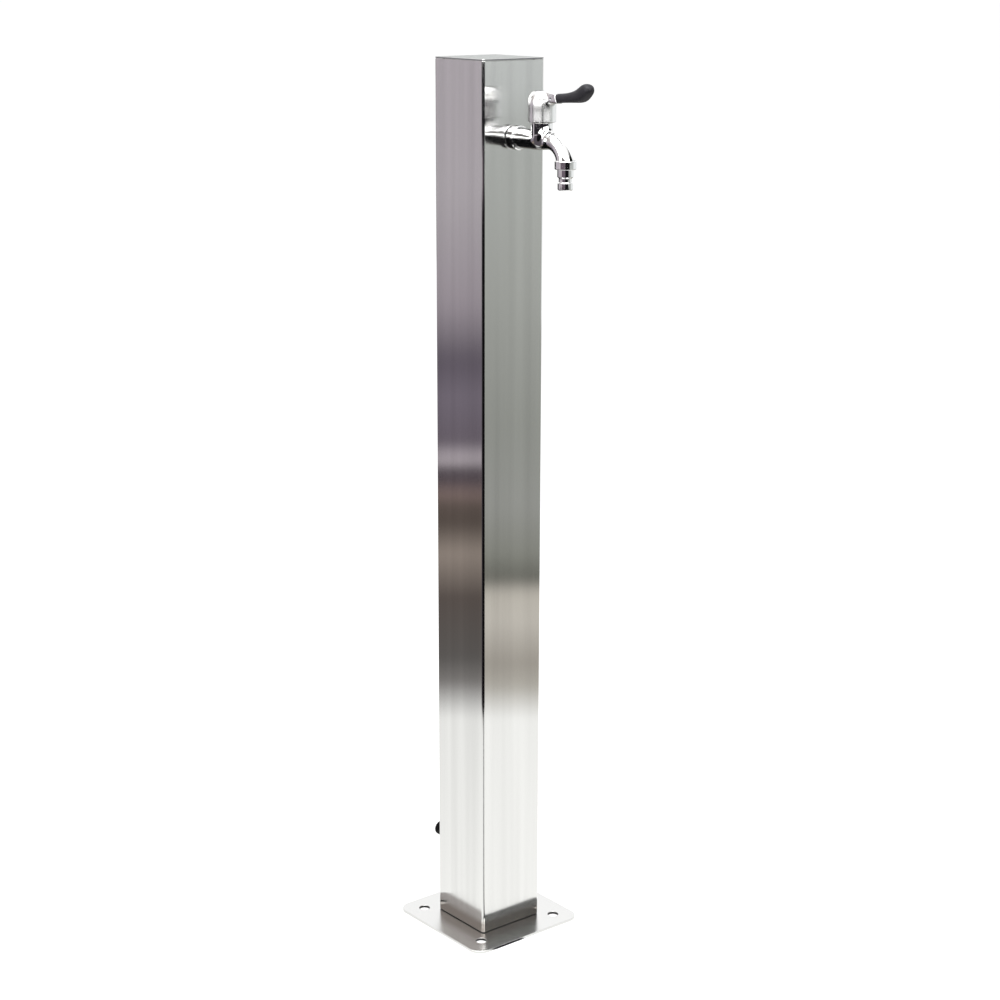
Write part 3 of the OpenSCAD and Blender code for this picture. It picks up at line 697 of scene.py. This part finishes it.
def floor_finish():
    """White paper that keeps a soft shadow; metal sees the studio's floor tones in it."""
    made = bpy.data.materials.new("White studio paper")
    made.use_nodes = True
    tree = made.node_tree
    tree.nodes.clear()
    place_on_floor = add(tree, "TexCoord").outputs["Object"]
    # The tone height rises with the distance in metres, d / (d + 1) / 2, up to the horizon; a slight
    # noise in it keeps the tones' edges from being ruler-straight
    grain = add(tree, "TexNoise", {"Vector": place_on_floor, "Scale": 5.0, "Detail": 3.0})
    far = add(tree, "VectorMath", {0: place_on_floor}, operation="LENGTH")
    ragged = add(tree, "MapRange", {"Value": grain, "To Min": 0.97, "To Max": 1.03})
    far = add(tree, "Math", {0: far, 1: ragged}, operation="MULTIPLY")
    beyond = add(tree, "Math", {0: far, 1: 1.0}, operation="ADD")
    height = add(tree, "Math", {0: far, 1: beyond}, operation="DIVIDE")
    height = add(tree, "Math", {0: height, 1: 0.5}, operation="MULTIPLY")
    ray = add(tree, "LightPath").outputs
    paper = add(tree, "BsdfDiffuse", {"Color": linear("#E8E8E8")})
    glow = add(tree, "Math", {0: ray["Is Camera Ray"], 1: 0.42}, operation="MULTIPLY")
    lift = add(tree, "Emission", {"Color": (1, 1, 1, 1), "Strength": glow})
    sheet = add(tree, "AddShader", {0: paper, 1: lift})
    mirror = add(tree, "Emission", {"Color": mirrored_studio(tree, place_on_floor, height)})
    both = add(tree, "MixShader", {0: ray["Is Glossy Ray"], 1: sheet, 2: mirror})
    add(tree, "OutputMaterial", {"Surface": both})
    return made


class STANDPIPE_OT_stage(Operator):
    """Make the camera, the floor and the lights"""
    bl_idname = "standpipe.stage"
    bl_label = "Stage"

    def execute(self, context):
        scene = context.scene
        scene.view_settings.view_transform = "Standard"
        lens = bpy.data.cameras.new("Camera")
        lens.lens = settings("studio").lens
        lens.clip_end = 200
        camera = bpy.data.objects.new("Camera", lens)
        camera.matrix_world = (
            Matrix.Translation(CAMERA_PLACE) @ Matrix.Rotation(CAMERA_TURN, 4, "Z")
            @ Matrix.Rotation(pi / 2 - CAMERA_DOWN, 4, "X") @ Matrix.Rotation(CAMERA_ROLL, 4, "Z"))
        scene.collection.objects.link(camera)
        scene.camera = camera
        bm = bmesh.new()
        bmesh.ops.create_circle(bm, cap_ends=True, segments=96, radius=FLOOR_RADIUS)
        floor = linked("Floor", bm)
        floor.data.materials.append(floor_finish())
        box = bpy.data.lights.new("Softbox", "AREA")
        box.shape = "RECTANGLE"
        box.size, box.size_y = SOFTBOX_SIDES
        box.energy = settings("studio").key
        lamp = bpy.data.objects.new("Softbox", box)
        lamp.location = SOFTBOX_PLACE
        aim = SOFTBOX_AIM - SOFTBOX_PLACE
        lamp.rotation_euler = aim.to_track_quat("-Z", "Y").to_euler()
        scene.collection.objects.link(lamp)
        set_world()
        return {"FINISHED"}


class STANDPIPE_OT_plate(Operator):
    """Make the base plate with its anchor holes"""
    bl_idname = "standpipe.plate"
    bl_label = "Base plate"

    def execute(self, context):
        post = settings("post")
        bm = bmesh.new()
        rounded_square(bm, PLATE_HIGH.x, post.plate_corner, PLATE_LOW.z, 14)
        pitch = post.anchor_pitch / 2
        holes = [(x * pitch, y * pitch, post.anchor_hole / 2) for x in (-1, 1) for y in (-1, 1)]
        for x, y, radius in holes + [(0, 0, post.service_hole / 2)]:
            bmesh.ops.create_circle(bm, segments=64, radius=radius,
                                    matrix=Matrix.Translation((x, y, PLATE_LOW.z)))
        # The outline and the circles are filled as one sheet with holes, then given its thickness
        bmesh.ops.delete(bm, geom=bm.faces[:], context="FACES_ONLY")
        bmesh.ops.triangle_fill(bm, use_beauty=True, use_dissolve=False, edges=bm.edges[:])
        raise_faces(bm, bm.faces[:], (0, 0, PLATE_HIGH.z - PLATE_LOW.z))
        bmesh.ops.recalc_face_normals(bm, faces=bm.faces)
        soften(bm, post.edge, 3, 60)
        piece = place(bm, "base_plate_sheet", "base_plate", rolled_steel())
        # The walls of the holes keep the laser's oxide, and the plate's own rim is polished
        inner = PLATE_HIGH.x - 5 * MM
        recoat(piece, laser_edge(), lambda face: abs(face.normal.z) < 0.5
               and max(abs(face.center.x), abs(face.center.y)) < inner)
        even_shading(piece)
        return {"FINISHED"}


class STANDPIPE_OT_post(Operator):
    """Make the square post with its two holes"""
    bl_idname = "standpipe.post"
    bl_label = "Post"

    def execute(self, context):
        post = settings("post")
        bm = bmesh.new()
        square_tube(bm, POST_HIGH.x, post.corner, post.wall, POST_LOW.z, POST_HIGH.z)
        bmesh.ops.recalc_face_normals(bm, faces=bm.faces)
        # The foot gets a flat bevel and the top a rounded edge, both on the outside only
        for height, width, segments in ((POST_LOW.z, post.foot, 1), (POST_HIGH.z, post.edge, 3)):
            rim = [e for e in bm.edges
                   if all(abs(v.co.z - height) < TOUCH for v in e.verts)
                   and any(abs(f.normal.z) < 0.1 and f.normal.dot(f.calc_center_median()) > 0
                           for f in e.link_faces)]
            bevel(bm, rim, width, segments)
        piece = place(bm, "post_tube", "post", post_steel())
        recoat(piece, laser_edge(), lambda face: face.center.z < POST_LOW.z + post.foot)
        play = 0.5 * MM
        cut = 4 * post.wall
        tap, inlet = settings("tap"), settings("inlet")
        drill(piece, [
            (Vector((0, POST_LOW.y - cut / 2, SHANK.z)), BACK, tap.shank + play, cut),
            (Vector((0, POST_HIGH.y - cut / 2, INLET.z)), BACK, inlet.thread + play, cut)])
        even_shading(piece)
        return {"FINISHED"}


class STANDPIPE_OT_cap(Operator):
    """Make the flat cap, its corner pads and its skirt"""
    bl_idname = "standpipe.cap"
    bl_label = "Cap"

    def execute(self, context):
        post = settings("post")
        under = CAP_HIGH.z - post.cap_plate
        bm = bmesh.new()
        rounded_square(bm, CAP_HIGH.x, post.corner, under)
        raise_faces(bm, bm.faces[:], (0, 0, post.cap_plate))
        bmesh.ops.recalc_face_normals(bm, faces=bm.faces)
        soften(bm, post.edge, 3, 60)
        # A ring of tube is cut down to four corner pads, which stay apart until their cuts are closed
        pads = bmesh.new()
        half = CAP_HIGH.x - post.cap_pad_inset
        square_tube(pads, half, post.corner, post.wall - post.cap_pad_inset, POST_HIGH.z, under)
        reach = CAP_HIGH.x - post.cap_pad
        for axis in ((1, 0, 0), (0, 1, 0)):
            for side in (-1, 1):
                bmesh.ops.bisect_plane(
                    pads, geom=pads.verts[:] + pads.edges[:] + pads.faces[:], dist=TOUCH / 10,
                    plane_co=Vector(axis) * side * reach, plane_no=axis)
        spare = centred(pads, lambda centre: min(abs(centre.x), abs(centre.y)) < reach)
        bmesh.ops.delete(pads, geom=spare, context="FACES")
        bmesh.ops.holes_fill(pads, edges=[e for e in pads.edges if e.is_boundary], sides=0)
        joined = bpy.data.meshes.new("pads")
        pads.to_mesh(joined)
        pads.free()
        bm.from_mesh(joined)
        bpy.data.meshes.remove(joined)
        # The skirt that centres the cap in the tube
        square_tube(bm, POST_HIGH.x - post.wall - 0.2 * MM, 1.2 * MM, 1 * MM, CAP_LOW.z, under)
        piece = place(bm, "top_cap_plate", "top_cap", sheet_steel())
        recoat(piece, sheared_edge(), lambda face: abs(face.normal.z) < 0.3
               and face.center.z > under and face.center.z < CAP_HIGH.z - post.edge)
        even_shading(piece)
        return {"FINISHED"}


# Radius and height over the shank's axis at which the neck leaves the casting, in millimetres,
# from the front to the back in steps of 30 degrees
NECK_ROOT = [(13.0, 9.4), (12.1, 8.0), (11.2, 3.0), (11.0, 0.0), (11.2, 2.7), (12.2, 8.2),
             (12.6, 10.1)]


class STANDPIPE_OT_casting(Operator):
    """Make the tap's casting: shank, barrel, neck and gooseneck spout in one skin"""
    bl_idname = "standpipe.casting"
    bl_label = "Tap casting"

    def execute(self, context):
        tap = settings("tap")
        shank, boss = tap.shank / MM, tap.boss / MM
        tail = (VALVE_Y - TAIL_Y) / MM
        tip = (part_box("tap_body")[0].z - SHANK.z) / MM
        outlet = (VALVE_Y - OUTLET.y) / MM
        # Sections of the shank, the barrel and the gooseneck, from the tail to the spout's end
        sections = [tilted(ahead, 0, 0, shank, shank) for ahead in (tail, tail + 1, -42, -28, -18.5)]
        sections += [
            tilted(-6, -0.1, 0, shank - 0.1, shank + 0.4), tilted(0.6, 0.3, 0, 9.8, shank + 0.7),
            tilted(7, 0.7, 0, 9.6, shank + 0.3), tilted(15.8, 0.1, 15.5, 8.9, 9.25),
            tilted(20.9, -1.6, 26.5, 8.5, 8.6), tilted(25.5, -4.4, 37.5, 8.15, 8.15),
            tilted(29.7, -8.2, 48.5, 8.0, 8.0), tilted(33.1, -12.8, 61, 8.2, 8.2),
            tilted(35.3, -17.4, 75, 8.7, 8.7), tilted(outlet - 0.1, -20.8, 86, boss, boss),
            tilted(outlet, tip + 0.3, 90, boss, boss), tilted(outlet, tip, 90, boss, boss)]
        bm = bmesh.new()
        back, edges = loft(bm, sections, 8)
        # The spout's end and the shank's tail turn in to the water way
        share = tap.way / tap.boss
        for ring, centre, inward in (
                (edges, Vector((0, OUTLET.y, 0)), UP * 10 * MM),
                (back, Vector((0, 0, SHANK.z)), FORWARD * 12 * MM)):
            across = Vector((1, 1, 0)) if inward.z else Vector((1, 0, 1))

            def shrink(point, centre=centre, across=across):
                """A point of the ring, drawn in towards the ring's centre."""
                return Vector((c + (p - c) * share if a else p
                               for p, c, a in zip(point, centre, across)))

            rim = step(bm, ring, shrink)
            bottom = step(bm, rim, lambda point, inward=inward: point + inward)
            bmesh.ops.contextual_create(bm, geom=bottom)

        # The neck grows from the upper half of the two stretches round the valve
        roof = centred(bm, lambda centre: abs(VALVE_Y - centre.y) < 6.9 * MM
                       and centre.z > SHANK.z)
        bmesh.ops.delete(bm, geom=roof, context="FACES")
        rim = [e for e in bm.edges if e.is_boundary]

        def turn_of(point):
            """Angle round the valve, from straight ahead."""
            return atan2(point.x, VALVE_Y - point.y)

        def round_neck(turn, radius, level):
            """A point of the neck's cage, by its angle, radius and height over the shank."""
            radius /= NECK_SHARE
            return Vector((radius * sin(turn), VALVE_Y - radius * cos(turn), SHANK.z + level))

        part = 2 * pi / NECK_SIDES
        points = sorted({v for e in rim for v in e.verts}, key=lambda v: turn_of(v.co))
        for index, point in enumerate(points):
            turn = (index + 1) * part - pi
            radius, level = NECK_ROOT[round(abs(turn) / part)]
            point.co = round_neck(turn, radius * MM, level * MM)
        # Rings up the neck's wall, over its thin rim and down its thread: each a radius, a height,
        # and the share of the way there from the ring before
        top = NECK_TOP - SHANK.z
        wall, thread = tap.neck, tap.neck_bore
        for radius, height, share in (
                (wall, 15.4 * MM, 0.4), (wall, top - 0.9 * MM, 1), (wall, top - 0.3 * MM, 1),
                (wall, top - 0.08 * MM, 1), (wall - 0.12 * MM, top, 1),
                (thread + 0.2 * MM, top, 1), (thread, top - 0.4 * MM, 1),
                (thread, top - 5 * MM, 1)):

            def ring(point, radius=radius, height=height, share=share):
                """The point of the next ring that a point of this one leads to."""
                level = point.z - SHANK.z
                return round_neck(turn_of(point), radius, level + (height - level) * share)

            rim = step(bm, rim, ring)
        bmesh.ops.contextual_create(bm, geom=rim)
        subdivide(place(bm, "tap_casting", "tap_body", tap_chrome(),
                        crease=NO_CREASE))
        return {"FINISHED"}


class STANDPIPE_OT_collar(Operator):
    """Make the ring against the post's face"""
    bl_idname = "standpipe.collar"
    bl_label = "Wall collar"

    def execute(self, context):
        tap = settings("tap")
        outer = COLLAR_HIGH.x
        length = COLLAR_HIGH.y - COLLAR_LOW.y
        slope = 0.9 * MM
        bore = tap.shank + 0.02 * MM
        outline = [(bore, 0), (outer - slope, 0), (outer, slope), (outer, length - slope),
                   (outer - slope, length), (bore, length)]
        chrome_turning("wall_collar_ring", "wall_collar", outline,
                       Vector((0, COLLAR_LOW.y, SHANK.z)), BACK, 0.25 * MM)
        return {"FINISHED"}


class STANDPIPE_OT_outlet(Operator):
    """Make the ring nut and the plug-in nose"""
    bl_idname = "standpipe.outlet"
    bl_label = "Outlet nose"

    def execute(self, context):
        tap = settings("tap")
        outer = NUT_HIGH.x
        height = NUT_HIGH.z - NUT_LOW.z
        slope, lip = 0.6 * MM, 1.3 * MM
        seat, socket = tap.nose + 0.05 * MM, tap.boss + 0.1 * MM
        outline = [(seat, 0), (outer - slope, 0), (outer, slope), (outer, height - slope),
                   (outer - slope, height), (socket, height), (socket, lip), (seat, lip)]
        chrome_turning("ring_nut_turned", "ring_nut", outline,
                       Vector((0, OUTLET.y, NUT_LOW.z)), UP, 0.2 * MM)
        low, high = tap.groove_low, tap.groove_low + tap.groove_width
        flange, flange_radius = NUT_LOW.z + lip - NOSE_LOW.z, tap.boss - 0.1 * MM
        top = NOSE_HIGH.z - NOSE_LOW.z
        bore = tap.way - 0.1 * MM
        edge = 0.9 * MM
        outline = [(bore, 0), (tap.nose_end - edge, 0), (tap.nose_end, edge),
                   (tap.nose_end, low - 0.5 * MM), (tap.groove, low + 0.2 * MM),
                   (tap.groove, high - 1.4 * MM), (tap.nose, high), (tap.nose, flange),
                   (flange_radius, flange), (flange_radius, top), (bore, top)]
        chrome_turning("hose_nose_turned", "hose_nose", outline,
                       Vector((0, OUTLET.y, NOSE_LOW.z)), UP, 0.25 * MM)
        return {"FINISHED"}


class STANDPIPE_OT_head(Operator):
    """Make the lever's chromed head and its tongue"""
    bl_idname = "standpipe.head"
    bl_label = "Lever head"

    def execute(self, context):
        lever = settings("lever")
        radius = HEAD_HIGH.x
        height = HEAD_HIGH.z - HEAD_LOW.z
        shoulder = height - lever.dome
        flat = radius - lever.dome_width
        depth = lever.cavity_depth
        inside = lever.cavity
        # The hollow from its roof down, the thin lower rim, the side, the dome and the flat top
        outline = [(0, depth), (inside * 0.5, depth), (inside - 0.3 * MM, depth),
                   (inside, depth - 0.4 * MM), (inside, 0.6 * MM), (inside + 0.25 * MM, 0),
                   (radius - 0.35 * MM, 0), (radius - 0.05 * MM, 0.2 * MM), (radius, 0.8 * MM),
                   (radius, 6 * MM), (radius, 12 * MM)]
        outline += [(flat + lever.dome_width / HEAD_SHARE * cos(radians(rise)),
                     shoulder + lever.dome / HEAD_SHARE * sin(radians(rise)))
                    for rise in (0, 22.5, 45, 67.5)]
        outline += [(flat, height + 0.15 * MM), (flat / 2, height), (0, height)]
        bm = bmesh.new()
        foot = Vector((0, VALVE_Y, HEAD_LOW.z))
        points = [bm.verts.new(foot + Vector((0, -r / HEAD_SHARE, h))) for r, h in outline]
        lines = [bm.edges.new(pair) for pair in zip(points, points[1:])]
        bmesh.ops.spin(bm, geom=points + lines, cent=foot, axis=UP, angle=2 * pi,
                       steps=HEAD_SIDES, use_merge=True)
        bmesh.ops.remove_doubles(bm, verts=bm.verts, dist=TOUCH)
        # The tongue grows from the front of the dome: how far each step reaches from the valve,
        # its width as a share, its lift, and whether it slants as the tongue's end does
        half = lever.tongue_width / 2
        faces = centred(bm, lambda centre: abs(centre.x) < half and centre.y < VALVE_Y - 6 * MM
                        and centre.z > HEAD_LOW.z + shoulder)
        foot_z = HEAD_LOW.z + lever.tongue_low - 0.3 * MM
        end = lever.tongue_reach
        for reach, grow, lift, slanted in ((16.5 * MM, 1.06, 0.5 * MM, 0), (end - 1 * MM, 1, 0, 1),
                                           (end - 0.1 * MM, 1, 0, 1)):
            heights = [v.co.z for f in faces for v in f.verts]
            low, top = min(heights), max(heights)
            tall = lever.root_height + 0.4 * MM + lift
            made = bmesh.ops.extrude_face_region(bm, geom=faces)["geom"]
            bmesh.ops.delete(bm, geom=faces, context="FACES")
            faces = only(made, BMFace)
            for point in {v for f in faces for v in f.verts}:
                share = (point.co.z - low) / (top - low)
                side = (point.co.x > 10 * TOUCH) - (point.co.x < -10 * TOUCH)
                slant = (1.5 - 2.9 * share) * MM * slanted
                point.co = Vector((side * half * grow * 1.02, VALVE_Y - reach - slant,
                                   foot_z + share * tall))
        satin = shared("Satin chrome plate", chrome_plate, settings("finish").chrome, 0.23)
        piece = place(bm, "lever_head_shell", "lever_head", satin, TURNING, NO_CREASE)
        subdivide(piece)
        # The grub screw's hole at the back, and the grip screw's on the left
        drill(piece, [
            (Vector((0, VALVE_Y + radius + 2 * MM, GRUB_SCREW.z)), FORWARD, 2.05 * MM, 8 * MM),
            (Vector((-8 * MM, GRIP_SCREW.y, GRIP_SCREW.z)), Vector((1, 0, 0)), 1.3 * MM, 5 * MM)])
        return {"FINISHED"}


# The grip's sections from its root to its end, in millimetres: how far the lowest point is in front
# of the root's foot and over it, how far the highest point is in front of the root's top and over
# it, and the share of the way from the narrow root to the wide end
GRIP_SHAPE = [
    ((1.5, 0.3), (-1.4, 0.4), 0), ((2.2, 0.4), (-0.6, 0.5), 0), ((4.9, 0.9), (4.2, 1), 0.08),
    ((12.7, 1.4), (11.7, 1.8), 0.24), ((21.2, 1.9), (19.7, 3.4), 0.46),
    ((28.7, 2.3), (26.2, 5.4), 0.68), ((34.7, 2.8), (31.2, 7.9), 0.86),
    ((39.4, 4.2), (35.7, 10.6), 1), ((43.2, 7.2), (39.8, 12.0), 0.98),
    ((46.4, 10.8), (44.4, 11.5), 0.62), ((48.4, 13.6), (47.6, 9.3), -0.6),
    ((49.2, 15.2), (48.9, 7.6), -1.4)]


class STANDPIPE_OT_grip(Operator):
    """Make the curved grip"""
    bl_idname = "standpipe.grip"
    bl_label = "Grip"

    def execute(self, context):
        lever = settings("lever")
        start = lever.tongue_reach / MM
        foot = (HEAD_LOW.z + lever.tongue_low - SHANK.z) / MM
        top = foot + lever.root_height / MM
        narrow, wide = lever.tongue_width / 2 / MM, lever.end_width / 2 / MM
        sections = [((start + low[0], foot + low[1]), (start + high[0], top + high[1]),
                     narrow + (wide - narrow) * share) for low, high, share in GRIP_SHAPE]
        bm = bmesh.new()
        for ring in loft(bm, sections, 12, (0.75, 0.8)):
            bmesh.ops.contextual_create(bm, geom=ring)
        vinyl = shared("Dipped vinyl", dipped_vinyl, settings("finish").grip)
        subdivide(place(bm, "lever_grip_moulding", "lever_grip", vinyl, TURNING,
                        NO_CREASE))
        return {"FINISHED"}


class STANDPIPE_OT_inlet(Operator):
    """Make the black plug-in nose and its ribbed collar"""
    bl_idname = "standpipe.inlet"
    bl_label = "Hose inlet"

    def execute(self, context):
        inlet = settings("inlet")
        tip = ADAPTER_HIGH.y - ADAPTER_LOW.y
        nose, outer, thread = inlet.nose, inlet.collar, inlet.thread
        collar, thread_depth, edge = 13 * MM, 10.8 * MM, 0.6 * MM
        groove, neck = nose - 1.4 * MM, nose + 0.4 * MM
        bm = bmesh.new()
        # The collar with its edges, the neck, the nose with its groove, the bore and the thread
        turned(bm, [
            (thread, 0), (outer - edge, 0), (outer, edge), (outer, 1.5 * MM),
            (outer, collar - 1.5 * MM), (outer, collar - edge), (outer - edge, collar),
            (nose + 1.6 * MM, collar + 1.5 * MM), (neck, collar + 3 * MM), (neck, tip - 17 * MM),
            (groove, tip - 15.5 * MM), (groove, tip - 11 * MM), (nose, tip - 10 * MM),
            (nose, tip - 1.2 * MM), (nose - 1.2 * MM, tip), (inlet.bore, tip),
            (inlet.bore, thread_depth), (thread, thread_depth)],
            Vector((0, ADAPTER_LOW.y, INLET.z)), BACK)

        def outward(point):
            """From the inlet's axis straight out to a point."""
            return point - Vector((0, point.y, INLET.z))

        def turn_of(face):
            """Angle of a face round the inlet's axis."""
            out = outward(face.calc_center_median())
            return atan2(out.x, out.z)

        # Every third pair of the collar's long faces stands out as a rib
        halfway = ADAPTER_LOW.y + collar / 2
        faces = sorted(centred(bm, lambda centre: abs(centre.y - halfway) < 0.6 * MM
                               and outward(centre).length > outer - 0.5 * MM), key=turn_of)
        ribs = [face for index, face in enumerate(faces) if index % 6 < 2]
        made = bmesh.ops.extrude_face_region(bm, geom=ribs)["geom"]
        bmesh.ops.delete(bm, geom=ribs, context="FACES")
        for point in only(made, BMVert):
            point.co += outward(point.co).normalized() * inlet.rib
        bmesh.ops.recalc_face_normals(bm, faces=bm.faces)
        soften(bm, 0.2 * MM)
        nylon = shared("Moulded nylon", moulded_nylon, settings("finish").nylon)
        even_shading(place(bm, "inlet_nose_moulding", "inlet_adapter", nylon))
        return {"FINISHED"}


# Finishes of the solids that stay as they are: material, what makes it, its colour and its nodes
INNER_FINISHES = [
    ("Cured rubber", cured_rubber, "rubber",
     ["wall_gasket", "headwork_oring", "seat_seal", "nose_gasket", "inlet_gasket",
      "adapter_gasket", "spindle_orings"]),
    ("Turned brass", turned_brass, "brass",
     ["tap_elbow", "pipe_nuts", "pipe_olives", "inlet_elbow", "inlet_locknut", "spindle"]),
    ("Nickel-plated brass", dull_plate, "nickel", ["headwork_body"]),
    ("Zinc plate", dull_plate, "zinc",
     ["riser_pipe", "spindle_clip", "lever_grub_screw", "grip_tang", "grip_screw"]),
    ("Vulcanised fibre", vulcan_fibre, "fibre", ["elbow_washer", "inlet_washer"]),
    ("Lapped ceramic", lapped_ceramic, "ceramic", ["fixed_disc", "moving_disc"]),
]


class STANDPIPE_OT_inner(Operator):
    """Give the inner pieces and the fastenings their finishes"""
    bl_idname = "standpipe.inner"
    bl_label = "Inner pieces"

    def execute(self, context):
        for name, make, colour, nodes in INNER_FINISHES:
            coat = shared(name, make, getattr(settings("finish"), colour))
            for node in nodes:
                slots = frame["nodes"][node].data.materials
                slots.clear()
                slots.append(coat)
        return {"FINISHED"}


GROUPS = {"post": StandpipePost, "tap": StandpipeTap, "lever": StandpipeLever,
          "inlet": StandpipeInlet, "finish": StandpipeFinish, "studio": StandpipeStudio}
OPERATORS = [STANDPIPE_OT_stage, STANDPIPE_OT_plate, STANDPIPE_OT_post, STANDPIPE_OT_cap,
             STANDPIPE_OT_casting, STANDPIPE_OT_collar, STANDPIPE_OT_outlet, STANDPIPE_OT_head,
             STANDPIPE_OT_grip, STANDPIPE_OT_inlet, STANDPIPE_OT_inner]


class STANDPIPE_PT_panel(Panel):
    """Lists the sizes, the finishes and the steps that build the standpipe"""
    bl_label = "Standpipe"
    bl_idname = "STANDPIPE_PT_panel"
    bl_space_type = "VIEW_3D"
    bl_region_type = "UI"
    bl_category = "Standpipe"

    def draw(self, context):
        for group, cls in GROUPS.items():
            box = self.layout.box()
            box.label(text=group.capitalize())
            for key in cls.__annotations__:
                box.prop(settings(group), key)
        for operator in OPERATORS:
            self.layout.operator(operator.bl_idname)


def register():
    """Makes the classes and the settings known to Blender."""
    for cls in [*GROUPS.values(), *OPERATORS, STANDPIPE_PT_panel]:
        bpy.utils.register_class(cls)
    for group, cls in GROUPS.items():
        setattr(bpy.types.Scene, "standpipe_" + group, bpy.props.PointerProperty(type=cls))


def unregister():
    """Takes the settings and the classes out again."""
    for group in GROUPS:
        delattr(bpy.types.Scene, "standpipe_" + group)
    for cls in reversed([*GROUPS.values(), *OPERATORS, STANDPIPE_PT_panel]):
        bpy.utils.unregister_class(cls)


def main():
    register()
    for operator in OPERATORS:
        getattr(bpy.ops.standpipe, operator.bl_idname.split(".")[1])()


if __name__ == "__main__":
    main()
